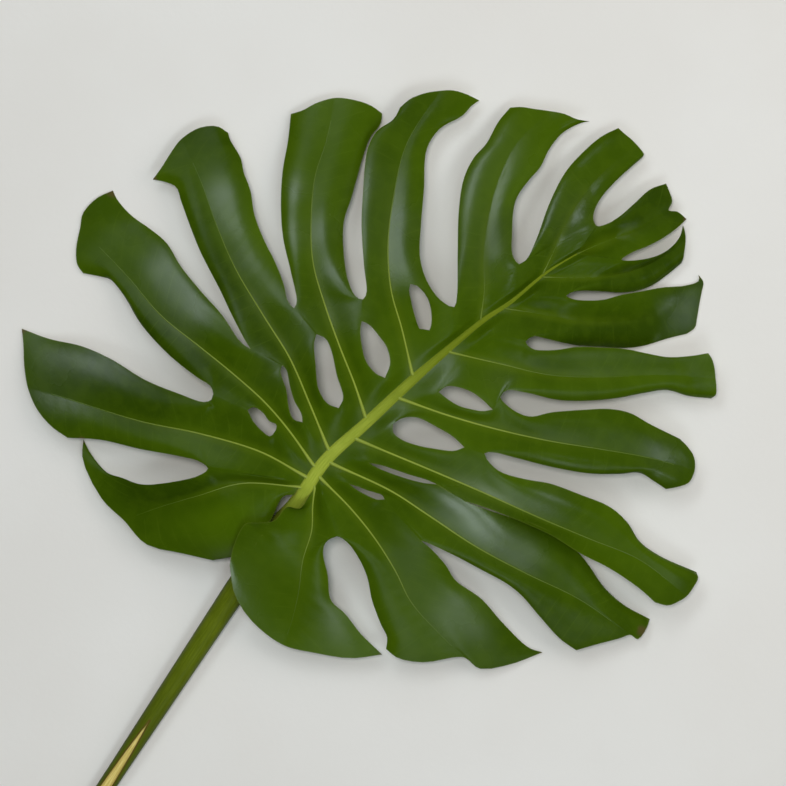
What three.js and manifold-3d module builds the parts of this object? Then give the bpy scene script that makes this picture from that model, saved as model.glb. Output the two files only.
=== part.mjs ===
// A cut monstera leaf lying face up: a lobed blade with slits and inner holes, and the
// petiole that runs on through the blade as its midrib. Millimetres, +Z up.
import * as THREE from 'three';
import { mergeVertices } from 'three/addons/utils/BufferGeometryUtils.js';
import Module from 'manifold-3d';

// Driving dimensions
const BLADE_THICKNESS = 0.8;
const JOINT_GAP = 0.3;
const LEAF_TURN = THREE.MathUtils.degToRad(54.2);

const RIDGE_HEIGHT = 26;
const RIDGE_FALL = 15;
const WING_RISE = 6;
const WING_REACH = 45;
const WING_FALL = 22;
const WING_SPAN = 150;
const QUILT_HEIGHT = 2.4;
const QUILT_TIP_LOSS = 0.6;
const EDGE_CURL_POWER = 2.5;
const RIB_HALF_WIDTH = 0.9;
const RIB_HEIGHT = 0.6;
const RIB_TIP_LOSS = 0.7;

const PETIOLE_LENGTH = 203;
const PETIOLE_RADII = [[0, 5.9], [60, 5.9], [165, 4.5], [PETIOLE_LENGTH, 4.3]];
const PETIOLE_SWELL = 25;
const PETIOLE_SIDESTEP = 1.7;
const DESCENT_START = 6;
const DESCENT_LENGTH = 86;
const GROOVE_LENGTH = 70;
const GROOVE_DEPTH = 3.6;
const MIDRIB_LENGTH = 186;
const MIDRIB_HALF_WIDTHS = [[0, 4], [50, 3.4], [80, 3.1], [113, 2], [168, 1], [MIDRIB_LENGTH, 0.8]];
const MIDRIB_FLATNESS = 0.8;
const MIDRIB_SINK = 0.15;

// Mesh steps: rows run from the midrib to a lobe's tip, columns from edge to edge
const WEB_ROWS = 2;
const HOLE_ROWS = 5;
const BRIDGE_ROWS = 1;
const SLIT_ROWS = 9;
const JOINED_ROWS = WEB_ROWS + HOLE_ROWS + BRIDGE_ROWS;
const ROWS = JOINED_ROWS + SLIT_ROWS;
const COLUMNS = [-1, -0.7, -0.4, 'rib', 0, 'rib', 0.4, 0.7, 1];
const VEIN_COLUMN = 4;
const TIP_STOPS = [0, 0.4, 0.7, 1];
const EDGE_FREE_ROWS = 3;
const HOLE_SIDES = 18;
const HOLE_CUT = 2 * RIDGE_HEIGHT;
const WELD = 1e-3;
const ROD_SIDES = 16;
const ROD_STEP = 6.5;

// The leaf in plan, seen square-on with the petiole's junction at the origin
const PETIOLE_DIRECTION = new THREE.Vector2(-0.55, -0.835).normalize();
const MIDRIB_POINTS = [
  [0, -1], [12.8, 17.8], [32.8, 36.2], [56.2, 57.9], [79.5, 78], [93, 88.8],
  [104.6, 96.4], [123.5, 111.9], [138.5, 121.1], [158.5, 129.5],
];
const RIDGE_BEND = [66.2, 80.1];

// Each lobe: where its vein leaves the midrib, the vein's course, seven points round the tip
// from the side nearer the petiole, the tip's height, and how far each side's edge hangs.
const LEFT_LOBES = [
  {
    veinStart: 4.8,
    vein: [[-28.5, 6.5], [-50, 0.5], [-70, -5.5]],
    tip: [[-44, -32.5], [-59, -29], [-77.5, -24.5], [-89, -12.5], [-100, -2], [-110, 18], [-109.75, 28]],
    tipHeight: 9,
    hang: [4, 3],
  },
  {
    veinStart: 10.8,
    vein: [[-19, 22], [-50, 31.25], [-78.5, 37], [-102.5, 44], [-120, 49.5]],
    tip: [[-117, 29], [-125, 34.5], [-132.5, 43], [-137.5, 54], [-139.5, 65.5], [-140, 75.5], [-141, 84]],
    tipHeight: 5,
    hang: [2, 3],
  },
  {
    veinStart: 17.4,
    vein: [[-5, 32.5], [-17.5, 47], [-35, 62.5], [-50, 74.5], [-70, 90.5], [-87.5, 110.5]],
    tip: [
      [-110, 112], [-113, 116.5], [-113.5, 124.5], [-111.5, 135],
      [-110, 142.5], [-103, 150], [-95, 153.75],
    ],
    tipHeight: -3,
    hang: [3, 3],
  },
  {
    veinStart: 27.9,
    vein: [[5.5, 45], [-5, 69], [-17.5, 89], [-32.5, 114], [-42.5, 137], [-50, 158]],
    tip: [[-74.5, 159], [-70, 165], [-65, 173], [-60, 179.5], [-51, 185], [-42, 185.75], [-36.5, 182.5]],
    tipHeight: 6,
    hang: [3, 4],
  },
  {
    veinStart: 52.3,
    vein: [[27.5, 55.5], [20, 74.5], [12.5, 95.5], [6.5, 117], [5.5, 138], [7.5, 160.5], [13, 178]],
    tip: [[-5, 192.25], [1, 194], [7.5, 197.5], [17.5, 200.25], [27.5, 199], [35, 196.5], [41, 192.5]],
    tipHeight: 5,
    hang: [3, 6],
  },
  {
    veinStart: 83.8,
    vein: [[51, 83], [45.5, 103], [44, 125.5], [46.5, 148], [53, 175.5]],
    tip: [[50, 195], [55, 199.25], [62.5, 202.25], [70, 203.5], [76.5, 203.75], [83, 202], [90, 198.75]],
    tipHeight: 9,
    hang: [1, 4],
  },
  {
    veinStart: 127.3,
    vein: [[92, 103], [91.75, 120.5], [94, 138], [98.5, 155.5], [107.5, 175.5]],
    tip: [
      [105.5, 195.25], [111, 195.5], [117.5, 194.5], [125, 193.5],
      [132.5, 192], [139, 189.25], [145.5, 188.25],
    ],
    tipHeight: 7,
    hang: [3, 4],
  },
  {
    veinStart: 166,
    vein: [[126.5, 121.5], [131, 132], [138.5, 145.5], [150, 160.5]],
    tip: [
      [160, 185], [163, 182], [166, 179.5], [169, 176.5],
      [171.5, 173.5], [172.75, 171.5], [172, 170],
    ],
    tipHeight: 8,
    hang: [3, 3],
  },
];

const RIGHT_LOBES = [
  {
    veinStart: 9,
    vein: [[6.5, -4.5], [6, -17], [1.5, -32], [-0.5, -47], [-4, -62]],
    tip: [[-35, -34.5], [-32.5, -49.5], [-24, -63], [-8.5, -75], [7.5, -79], [25, -81.75], [41, -80]],
    tipHeight: 14,
    hang: [-5, 3],
  },
  {
    veinStart: 14.2,
    vein: [[25, -5.5], [37.5, -21], [47.5, -37], [55.5, -53], [68, -67.5]],
    tip: [[43, -77], [49, -81.5], [62, -83.75], [82, -81.5], [90, -87.25], [106, -85.25], [122, -79.5]],
    tipHeight: 9,
    hang: [3, 4],
  },
  {
    veinStart: 23.7,
    vein: [[45, 3], [65, -10], [87.5, -25], [112.5, -38.5], [140, -52]],
    tip: [
      [138.5, -77.75], [149, -74.75], [160, -72], [166, -70.25],
      [169.75, -72.5], [174, -67.5], [176, -62.5],
    ],
    tipHeight: 8,
    hang: [3, 5],
  },
  {
    veinStart: 41.5,
    vein: [[65, 13.25], [90, 2.5], [120, -11], [145, -21.5], [170, -32]],
    tip: [
      [177.5, -53.25], [184.5, -55], [190, -53], [194, -50.5],
      [198, -45], [199.75, -41.5], [199, -38.5],
    ],
    tipHeight: 12,
    hang: [-2, 4],
  },
  {
    veinStart: 71,
    vein: [[75, 40], [100, 33], [125, 27.5], [150, 23.5], [175, 19]],
    tip: [[183.5, 3.25], [190, 4.5], [195, 6.5], [198, 12.5], [197.75, 19], [195, 23.75], [190.5, 28.5]],
    tipHeight: 12,
    hang: [4, 3],
  },
  {
    veinStart: 105,
    vein: [[100, 66], [125, 60.5], [152.5, 59.5], [180, 60.5]],
    tip: [
      [206.5, 48.75], [208.75, 50.5], [209, 54], [208.5, 59],
      [207.75, 64.5], [206.5, 68.5], [204.5, 71.5],
    ],
    tipHeight: 12,
    hang: [4, 0],
  },
  {
    veinStart: 140.4,
    vein: [[120, 91], [135, 88], [160, 87.5], [180, 90.5]],
    tip: [
      [195, 81.5], [199, 84.5], [200, 89], [201.25, 96.5],
      [202.5, 103], [203.25, 107.5], [200.75, 111.25],
    ],
    tipHeight: -3,
    hang: [4, 1],
  },
  {
    veinStart: 164.8,
    vein: [[150, 109.5], [170, 114], [185, 121.5]],
    tip: [
      [192, 117], [192.75, 119.5], [193.25, 123], [193.75, 127],
      [193.75, 130.5], [193.25, 133.5], [192.5, 136],
    ],
    tipHeight: 7,
    hang: [4, 2],
  },
];

const END_LOBE = {
  vein: [[150, 126.25], [160, 130.25], [170.5, 134.5]],
  tip: [
    [184, 157], [185.5, 153], [187, 148], [185.25, 143.5],
    [189.5, 142.75], [192, 141], [194.25, 139],
  ],
  tipHeight: 8,
  hang: [3, 2],
};

// The free edges on each side of the petiole, where the basal lobes don't join, and how far
// along the midrib each starts
const LEFT_SINUS = {
  root: 0,
  edge: [[-8, 0], [-14.25, -11.5], [-22.5, -24.5], [-32.5, -30], [-44, -32.5]],
};
const RIGHT_SINUS = {
  root: 4,
  edge: [
    [0, -6], [-6, -5], [-12.5, -11.75], [-20, -12.75], [-26.5, -13.25],
    [-30, -18], [-33.5, -27], [-35, -34.5],
  ],
};

// Each gap between two lobes: the slit's inner end, its two sides out to the tips' corners
// (basal: the lobe nearer the petiole), and the inner hole, if any, with its own two sides.
const LEFT_GAPS = [
  {
    end: [-45.5, 14],
    basal: [[-50, 10.5], [-67.5, 6.5], [-80, 5.75], [-90, 9], [-97.5, 11.5], [-106, 21], [-109.75, 28]],
    apical: [[-50, 17.5], [-60, 20], [-80, 23.5], [-100, 28], [-117, 29]],
  },
  {
    hole: {
      near: [-11.75, 33],
      far: [-25.75, 43],
      basal: [[-14.5, 30], [-19, 33], [-23, 37.5]],
      apical: [[-11.5, 35.75], [-15, 37.5], [-18.5, 42], [-23, 44.5]],
    },
    end: [-43, 51],
    basal: [
      [-43.5, 48.5], [-47.5, 47], [-60, 51], [-77.5, 58],
      [-95, 68.5], [-110, 75], [-127.5, 79], [-141, 84],
    ],
    apical: [
      [-44.5, 55], [-50, 58.5], [-65, 70], [-80, 86],
      [-89, 100.5], [-96, 108.75], [-101, 110.25], [-110, 112],
    ],
  },
  {
    hole: {
      near: [1.5, 37],
      far: [-8.5, 65.25],
      basal: [[-3, 38.5], [-5.25, 44], [-6.5, 53], [-9.5, 62.5]],
      apical: [[1, 41], [-2.5, 47.5], [-5, 56], [-6.5, 63]],
    },
    end: [-24.5, 73.5],
    basal: [
      [-29.5, 77], [-39, 90.5], [-50, 102.75], [-60, 115], [-67.5, 127], [-75, 133.5], [-86, 141.5],
      [-93, 149.5], [-95, 153.75],
    ],
    apical: [
      [-26.5, 76.5], [-33.5, 89.5], [-40, 103], [-50, 122.25], [-55, 134.5], [-60, 148], [-62.5, 155],
      [-67.5, 157.5], [-74.5, 159],
    ],
  },
  {
    hole: {
      near: [19.5, 44],
      far: [8.5, 80.75],
      basal: [[14, 46.25], [9.5, 53.5], [8, 66], [7.25, 76.5]],
      apical: [[21.75, 49], [18.5, 60.5], [16, 72], [13, 78.5]],
    },
    end: [-2.75, 93.75],
    basal: [
      [-6, 97.5], [-8, 105.5], [-12.5, 117], [-18, 128], [-23, 141], [-25, 153], [-28.5, 162.5],
      [-30, 169.5], [-35.5, 179], [-36.5, 182.5],
    ],
    apical: [[-1.5, 97], [-4.5, 112], [-8.5, 129], [-9.75, 145.5], [-9, 163], [-6.5, 178], [-5, 192.25]],
  },
  {
    hole: {
      near: [42.5, 59],
      far: [31, 87.25],
      basal: [[38, 61.25], [33, 67.5], [31, 75], [30.25, 83]],
      apical: [[45, 66], [43.5, 74], [39, 80.5], [34.5, 85.5]],
    },
    end: [31.5, 98],
    basal: [
      [28, 99.5], [24, 108], [21.75, 123], [22, 138], [25.5, 149], [30, 165.5], [32.5, 174],
      [35.5, 181], [39, 185.25], [40.75, 189], [41, 192.5],
    ],
    apical: [
      [33.25, 101], [32, 115.5], [30.75, 135.5], [31.5, 153], [32.5, 166.5], [33.75, 174], [36.5, 180.5],
      [40, 184.5], [45, 187.5], [48, 190.75], [50, 195],
    ],
  },
  {
    end: [77, 94.25],
    basal: [
      [71, 97], [64, 106], [60, 119], [60.5, 135.5], [62, 153], [63.5, 174], [70, 184.25],
      [81.5, 191], [86, 196], [90, 198.75],
    ],
    apical: [
      [78.25, 99], [78.75, 120.5], [79.5, 144], [82, 159],
      [87, 169.5], [93.5, 177], [99.5, 188], [105.5, 195.25],
    ],
  },
  {
    end: [109.5, 115.75],
    basal: [
      [106.25, 120], [106, 132], [108, 148], [114.5, 158], [120.5, 165], [125, 174], [132, 182.5],
      [141.5, 187.5], [145.5, 188.25],
    ],
    apical: [[113, 118], [118, 128], [125.5, 148], [133.5, 163], [144, 174.5], [152, 181], [160, 185]],
  },
  {
    end: [148.5, 135.25],
    basal: [[146.75, 139.5], [150, 148], [157.5, 157], [165, 164], [172, 170]],
    apical: [[153, 136], [160, 140], [167.5, 146.5], [176, 154], [184, 157]],
  },
];

// The hole that lies beside a slit instead of in line with it
const LONE_HOLE = [
  [62.75, 80.5], [65.25, 84.5], [65.5, 92], [63.5, 99], [59.5, 104], [55.75, 106.25],
  [54.5, 104], [55.5, 97.5], [57.5, 89.5], [59.75, 83.5],
];

const RIGHT_GAPS = [
  {
    end: [18.5, -19.75],
    basal: [[13, -23], [11.75, -28], [14, -39.5], [15.5, -52], [22.5, -59], [30, -69], [41, -80]],
    apical: [[23.5, -22.5], [29, -30], [33.5, -40], [36, -52], [40.5, -64.5], [43.5, -71], [43, -77]],
  },
  {
    hole: {
      near: [24.75, 6.25],
      far: [42.25, -1.25],
      basal: [[28, 3.75], [32, 1.5], [35.5, -0.25], [39, -1.5]],
      apical: [[29, 5], [33.5, 3.25], [37.5, 2], [41, 0.75]],
    },
    end: [60.5, -22],
    basal: [[65, -25.75], [73, -34.75], [77.5, -42], [91, -52], [101.5, -64], [115, -77], [122, -79.5]],
    apical: [
      [75, -28.5], [90, -36.5], [104, -44.25], [111, -50],
      [120, -60.5], [130.5, -72], [138.5, -77.75],
    ],
  },
  {
    hole: {
      near: [34.5, 16.75],
      far: [68.5, 6],
      basal: [[39.5, 14], [46.5, 11.25], [54, 8.75], [62, 6.75]],
      apical: [[41, 15.5], [48.5, 13], [56, 10.5], [63.5, 8.25]],
    },
    end: [82.5, -2.5],
    basal: [
      [95, -7.25], [105, -10.5], [117.5, -14.25], [130, -21], [139, -28], [145, -35.25],
      [152.5, -46], [162.5, -55], [176, -62.5],
    ],
    apical: [
      [95, -6.5], [110, -12.5], [125, -19.25], [140, -28.5],
      [155, -36.25], [170, -46.5], [177.5, -53.25],
    ],
  },
  {
    hole: {
      near: [46.5, 36],
      far: [82, 24.5],
      basal: [[46.5, 32], [50.5, 28.5], [58.5, 25.5], [67.5, 23.75], [77, 22.75]],
      apical: [[50.5, 38.75], [58.5, 39.25], [67.5, 35], [76, 30]],
    },
    end: [92, 21.5],
    basal: [
      [94, 17.5], [100, 12.25], [112.5, 8.5], [125, 6.25], [140, 0.75], [155, -5.5], [164, -13.5],
      [170, -22.75], [180, -30], [199, -38.5],
    ],
    apical: [
      [96, 22], [107.5, 19.25], [125, 14.75], [145, 11.25],
      [160, 11], [170, 11.5], [177, 7.5], [183.5, 3.25],
    ],
  },
  {
    hole: {
      near: [69.25, 52],
      far: [96, 43.25],
      basal: [[73, 49], [79, 45.25], [85, 43.5], [91, 42.5]],
      apical: [[73, 54.75], [79.5, 54.25], [86, 51.75], [92, 47.25]],
    },
    end: [99.75, 49.5],
    basal: [
      [102.5, 46], [109, 41.5], [115.5, 39.75], [125, 41.75], [140, 43], [155, 43.5], [165, 41.5],
      [175, 36], [190.5, 28.5],
    ],
    apical: [
      [103, 52.75], [112.5, 51.75], [127.5, 48.25], [140, 47.5], [157.5, 48.75], [172.5, 51.5],
      [184, 53], [195, 50], [206.5, 48.75],
    ],
  },
  {
    end: [112.5, 77],
    basal: [
      [116, 73.5], [122.5, 72.75], [130, 73.25], [138, 74.5], [150, 74.25], [162.5, 73.5], [175, 71],
      [184, 69.5], [195, 70], [204.5, 71.5],
    ],
    apical: [
      [116.5, 79.75], [122.5, 78.75], [130, 77], [138, 75.5], [150, 74.75], [162.5, 74.25],
      [172.5, 75.25], [185, 79], [195, 81.5],
    ],
  },
  {
    end: [133, 100],
    basal: [
      [137, 98.25], [145, 97.75], [152, 98.25], [161, 100.75], [170, 102.4], [182.5, 104.75],
      [194, 105.75], [201, 108.25], [200.75, 111.25],
    ],
    apical: [
      [137.5, 102.25], [150, 102.5], [161, 101.9], [170, 103.1],
      [177.5, 106], [185, 111.25], [192, 117],
    ],
  },
  {
    end: [161, 118.25],
    basal: [[167.5, 118], [178.5, 120.25], [186, 124.5], [191, 130.5], [192.5, 136]],
    apical: [[166, 121.75], [175, 125.5], [184, 130.5], [190, 135], [194.25, 139]],
  },
];

const { clamp, lerp, smoothstep } = THREE.MathUtils;

const wasm = await Module();
wasm.setup();
const { Manifold, Mesh } = wasm;

const toVector = ([x, y]) => new THREE.Vector3(x, y, 0);

// Points at even steps along a smooth line through the given ones
function evenSteps(points, steps) {
  const curve = new THREE.CatmullRomCurve3(points.map(toVector), false, 'centripetal');
  return curve.getSpacedPoints(steps).map(({ x, y }) => [x, y]);
}

const mix = (a, b, t) => [lerp(a[0], b[0], t), lerp(a[1], b[1], t)];

// Value at x of a line through [x, value] pairs
function along(pairs, x) {
  const next = clamp(pairs.findIndex(([at]) => at > x), 0, pairs.length - 1) || pairs.length - 1;
  const [from, to] = [pairs[next - 1], pairs[next]];
  return lerp(from[1], to[1], clamp((x - from[0]) / (to[0] - from[0]), 0, 1));
}

// The line that the petiole and midrib follow in plan, by distance from the junction
const midribCurve = new THREE.CatmullRomCurve3(MIDRIB_POINTS.map(toVector), false, 'centripetal');
const midribReach = midribCurve.getLength();
const midribStations = midribCurve.getSpacedPoints(120);

// The ridge's crest follows the midrib without its small bends
const ridgeEnds = [MIDRIB_POINTS[0], MIDRIB_POINTS.at(-1)].map(toVector);
const ridgeCurve = new THREE.QuadraticBezierCurve3(ridgeEnds[0], toVector(RIDGE_BEND), ridgeEnds[1]);
const ridgeStations = ridgeCurve.getSpacedPoints(120);

function spineAt(station) {
  const tangent = new THREE.Vector3();
  const point = midribCurve.getPointAt(clamp(station / midribReach, 0, 1));
  if (station > 0) {
    midribCurve.getTangentAt(clamp(station / midribReach, 0, 1), tangent);
  } else {
    tangent.set(-PETIOLE_DIRECTION.x, -PETIOLE_DIRECTION.y, 0);
    point.addScaledVector(tangent, station);
  }
  const left = new THREE.Vector3(-tangent.y, tangent.x, 0);
  point.addScaledVector(left, PETIOLE_SIDESTEP * smoothstep(-station, 0, PETIOLE_SWELL));
  return { point, left };
}

const midribHalfWidth = (station) => along(MIDRIB_HALF_WIDTHS, station);

// Height of the blade's middle plane before each lobe's own bend: a ridge along the midrib,
// with wings that first rise and then fall towards the margin.
function archHeight([x, y]) {
  const away = (p) => Math.hypot(p.x - x, p.y - y);
  const distance = Math.min(...midribStations.map(away));
  const crest = ridgeStations.map(away);
  const share = crest.indexOf(Math.min(...crest)) / (crest.length - 1);
  const ridge = RIDGE_HEIGHT - RIDGE_FALL * share ** 3;
  const reach = distance / WING_REACH;
  const wing = WING_RISE * reach * Math.exp(1 - reach) - WING_FALL * (distance / WING_SPAN) ** 1.6;
  return ridge + wing;
}

function slotEdge(station, side) {
  const { point, left } = spineAt(station);
  point.addScaledVector(left, side * (midribHalfWidth(station) + JOINT_GAP));
  return [point.x, point.y];
}

// One side of a gap, from the midrib to the tip's corner
function gapSide(gap, root, name) {
  const slit = evenSteps([gap.end, ...gap[name]], SLIT_ROWS);
  if (!gap.hole) {
    return [...evenSteps([root, gap.end], JOINED_ROWS), ...slit.slice(1)];
  }
  const { near, far } = gap.hole;
  const web = evenSteps([root, near], WEB_ROWS);
  const hole = evenSteps([near, ...gap.hole[name], far], HOLE_ROWS);
  const bridge = evenSteps([far, gap.end], BRIDGE_ROWS);
  return [...web, ...hole.slice(1), ...bridge.slice(1), ...slit.slice(1)];
}

// Share of the way along a line of points at each of them
function shares(points) {
  const lengths = [0];
  for (let i = 1; i < points.length; i += 1) {
    const [from, to] = [points[i - 1], points[i]];
    lengths.push(lengths[i - 1] + Math.hypot(to[0] - from[0], to[1] - from[1]));
  }
  return lengths.map((length) => length / lengths.at(-1));
}

// A lobe's grid of points, rows by columns, as [x, y, z] of the blade's middle plane
function lobeGrid({ lobe, basePoint, sides, freeFrom }) {
  const mid = (lobe.tip.length - 1) / 2;
  const [basalShares, apicalShares] = sides.map(shares);
  const veinShares = basalShares.map((share, row) => (share + apicalShares[row]) / 2);
  const veinPoints = [basePoint(0, 0), ...lobe.vein, lobe.tip[mid]];
  const vein = new THREE.CatmullRomCurve3(veinPoints.map(toVector), false, 'centripetal');
  const tipLift = lobe.tipHeight - archHeight(lobe.tip[mid]);
  const grid = [];
  for (let row = 0; row <= ROWS; row += 1) {
    const onVein = vein.getPointAt(veinShares[row]);
    const middle = [onVein.x, onVein.y];
    const slitShare = clamp((row - JOINED_ROWS) / SLIT_ROWS, 0, 1);
    const tipShare = slitShare ** 3;
    const quilt = QUILT_HEIGHT * smoothstep(row, 0, WEB_ROWS) * (1 - QUILT_TIP_LOSS * slitShare);
    const rib = RIB_HEIGHT * (1 - RIB_TIP_LOSS * veinShares[row]);
    grid.push(COLUMNS.map((column, index) => {
      const sideIndex = index < VEIN_COLUMN ? 0 : 1;
      const edge = sides[sideIndex][row];
      const halfWidth = Math.hypot(edge[0] - middle[0], edge[1] - middle[1]);
      const ribFoot = Math.min(RIB_HALF_WIDTH / halfWidth, TIP_STOPS[1] / 2);
      const across = column === 'rib' ? ribFoot : Math.abs(column);
      const flat = row === 0 ? basePoint(sideIndex, across) : mix(middle, edge, across);
      const [x, y] = addTipShape(flat, lobe.tip, sideIndex, across, tipShare);
      const free = smoothstep(row, freeFrom[sideIndex], freeFrom[sideIndex] + EDGE_FREE_ROWS);
      const height = archHeight([x, y])
        + quilt * Math.sin(across * Math.PI / 2) ** 2
        + tipLift * smoothstep(slitShare, 0, 1)
        - lobe.hang[sideIndex] * across ** EDGE_CURL_POWER * free
        + (index === VEIN_COLUMN ? rib : 0);
      return [x, y, Math.max(height, BLADE_THICKNESS / 2)];
    }));
  }
  return grid;
}

// Bends the last rows towards the tip's outline
function addTipShape(flat, tip, sideIndex, across, share) {
  const mid = (tip.length - 1) / 2;
  const towards = sideIndex === 0 ? -1 : 1;
  const stop = Math.max(1, TIP_STOPS.findIndex((at) => at >= across));
  const within = (across - TIP_STOPS[stop - 1]) / (TIP_STOPS[stop] - TIP_STOPS[stop - 1]);
  const onTip = mix(tip[mid + towards * (stop - 1)], tip[mid + towards * stop], within);
  const straight = mix(tip[mid], tip[mid + towards * mid], across);
  return [flat[0] + share * (onTip[0] - straight[0]), flat[1] + share * (onTip[1] - straight[1])];
}

const turn = (a, b, c) => (b[0] - a[0]) * (c[1] - a[1]) - (b[1] - a[1]) * (c[0] - a[0]);

// Two triangles for each cell, split along the diagonal that keeps both facing up
function gridTriangles(grid, flip) {
  const triangles = [];
  for (let row = 0; row < ROWS; row += 1) {
    for (let column = 0; column < COLUMNS.length - 1; column += 1) {
      const corners = [
        grid[row][column], grid[row][column + 1], grid[row + 1][column + 1], grid[row + 1][column],
      ];
      const [a, b, c, d] = flip ? corners.reverse() : corners;
      const splitAC = Math.min(turn(a, b, c), turn(a, c, d));
      const splitBD = Math.min(turn(a, b, d), turn(b, c, d));
      triangles.push(...(splitAC > splitBD ? [[a, b, c], [a, c, d]] : [[a, b, d], [b, c, d]]));
    }
  }
  return triangles;
}

// A closed sheet from the triangles of its middle plane, the same on both faces
function thickSheet(triangles, thickness) {
  const middle = new THREE.BufferGeometry();
  middle.setAttribute('position', new THREE.Float32BufferAttribute(triangles.flat(2), 3));
  const welded = mergeVertices(middle, WELD);
  const points = welded.getAttribute('position');
  const faces = welded.getIndex().array;
  const positions = [];
  for (const shift of [thickness / 2, -thickness / 2]) {
    for (let i = 0; i < points.count; i += 1) {
      positions.push(points.getX(i), points.getY(i), points.getZ(i) + shift);
    }
  }
  const edges = new Map();
  const index = [];
  for (let i = 0; i < faces.length; i += 3) {
    const [a, b, c] = faces.slice(i, i + 3);
    index.push(a, b, c, a + points.count, c + points.count, b + points.count);
    for (const [from, to] of [[a, b], [b, c], [c, a]]) {
      if (!edges.delete(`${to} ${from}`)) {
        edges.set(`${from} ${to}`, [from, to]);
      }
    }
  }
  for (const [from, to] of edges.values()) {
    index.push(from, from + points.count, to, to, from + points.count, to + points.count);
  }
  const sheet = new THREE.BufferGeometry();
  sheet.setAttribute('position', new THREE.Float32BufferAttribute(positions, 3));
  sheet.setIndex(index);
  return sheet;
}

// The lobes of one half of the blade, from the petiole to the tip
function halfBlade(lobes, gaps, sinus, side) {
  const starts = lobes.map(({ veinStart }) => veinStart);
  const between = starts.slice(1).map((start, i) => (start + starts[i]) / 2);
  const roots = [sinus.root, ...between, MIDRIB_LENGTH];
  return lobes.flatMap((lobe, i) => {
    const first = i === 0;
    const [basalRoot, apicalRoot] = [slotEdge(roots[i], side), slotEdge(roots[i + 1], side)];
    const basal = first
      ? evenSteps([basalRoot, ...sinus.edge], ROWS)
      : gapSide(gaps[i - 1], basalRoot, 'apical');
    const apical = gapSide(gaps[i], apicalRoot, 'basal');
    const basePoint = (sideIndex, across) => (
      slotEdge(lerp(lobe.veinStart, roots[i + sideIndex], across), side)
    );
    const freeFrom = [first ? 0 : JOINED_ROWS, JOINED_ROWS];
    return gridTriangles(lobeGrid({ lobe, basePoint, sides: [basal, apical], freeFrom }), side < 0);
  });
}

function endLobe() {
  const left = gapSide(LEFT_GAPS.at(-1), slotEdge(MIDRIB_LENGTH, 1), 'apical');
  const right = gapSide(RIGHT_GAPS.at(-1), slotEdge(MIDRIB_LENGTH, -1), 'apical');
  const middle = mix(left[0], right[0], 0.5);
  const basePoint = (sideIndex, across) => mix(middle, [left, right][sideIndex][0], across);
  const freeFrom = [JOINED_ROWS, JOINED_ROWS];
  return gridTriangles(lobeGrid({ lobe: END_LOBE, basePoint, sides: [left, right], freeFrom }), false);
}

function toSolid(geometry) {
  return new Manifold(new Mesh({
    numProp: 3,
    vertProperties: geometry.getAttribute('position').array,
    triVerts: new Uint32Array(geometry.getIndex().array),
  }));
}

// A sheet with an upright hole cut through it
function cutHole(sheet, outline) {
  const curve = new THREE.CatmullRomCurve3(outline.map(toVector), true, 'centripetal');
  const loop = curve.getSpacedPoints(HOLE_SIDES).slice(1).map(({ x, y }) => new THREE.Vector2(x, y));
  const plug = new THREE.ExtrudeGeometry(new THREE.Shape(loop), { depth: HOLE_CUT, bevelEnabled: false });
  plug.deleteAttribute('normal');
  plug.deleteAttribute('uv');
  const cut = toSolid(sheet).subtract(toSolid(mergeVertices(plug, WELD))).getMesh();
  const geometry = new THREE.BufferGeometry();
  geometry.setAttribute('position', new THREE.BufferAttribute(cut.vertProperties, cut.numProp));
  geometry.setIndex(new THREE.BufferAttribute(cut.triVerts, 1));
  return geometry;
}

function bladeGeometry() {
  const triangles = [
    ...halfBlade(LEFT_LOBES, LEFT_GAPS, LEFT_SINUS, 1),
    ...halfBlade(RIGHT_LOBES, RIGHT_GAPS, RIGHT_SINUS, -1),
    ...endLobe(),
  ];
  return cutHole(thickSheet(triangles, BLADE_THICKNESS), LONE_HOLE);
}

// Half-width, half-height and centre height of the petiole and midrib
function rodSection(station) {
  const width = midribHalfWidth(Math.max(station, 0));
  const radius = along(PETIOLE_RADII, Math.max(-station, 0));
  const swell = smoothstep(-station, 0, PETIOLE_SWELL);
  const { point } = spineAt(Math.max(station, 0));
  const midribCentre = archHeight([point.x, point.y]) - MIDRIB_SINK * width;
  const descent = clamp((DESCENT_START - station) / DESCENT_LENGTH, 0, 1);
  return {
    halfWidth: lerp(width, radius, swell),
    halfHeight: lerp(MIDRIB_FLATNESS * width, radius, swell),
    centre: lerp(radius, midribCentre, (1 - descent) ** 2),
  };
}

function rodRing(station) {
  const { point, left } = spineAt(station);
  const { halfWidth, halfHeight, centre } = rodSection(station);
  const groove = smoothstep(-station, PETIOLE_LENGTH - GROOVE_LENGTH, PETIOLE_LENGTH);
  const ring = [];
  for (let side = 0; side < ROD_SIDES; side += 1) {
    const angle = side / ROD_SIDES * 2 * Math.PI;
    const across = halfWidth * Math.sin(angle);
    const sunk = side === 0 ? GROOVE_DEPTH * Math.sqrt(groove) : 0;
    const height = centre + halfHeight * Math.cos(angle) - sunk;
    ring.push([point.x + left.x * across, point.y + left.y * across, Math.max(height, 0)]);
  }
  return { ring, heart: [point.x, point.y, centre] };
}

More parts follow.
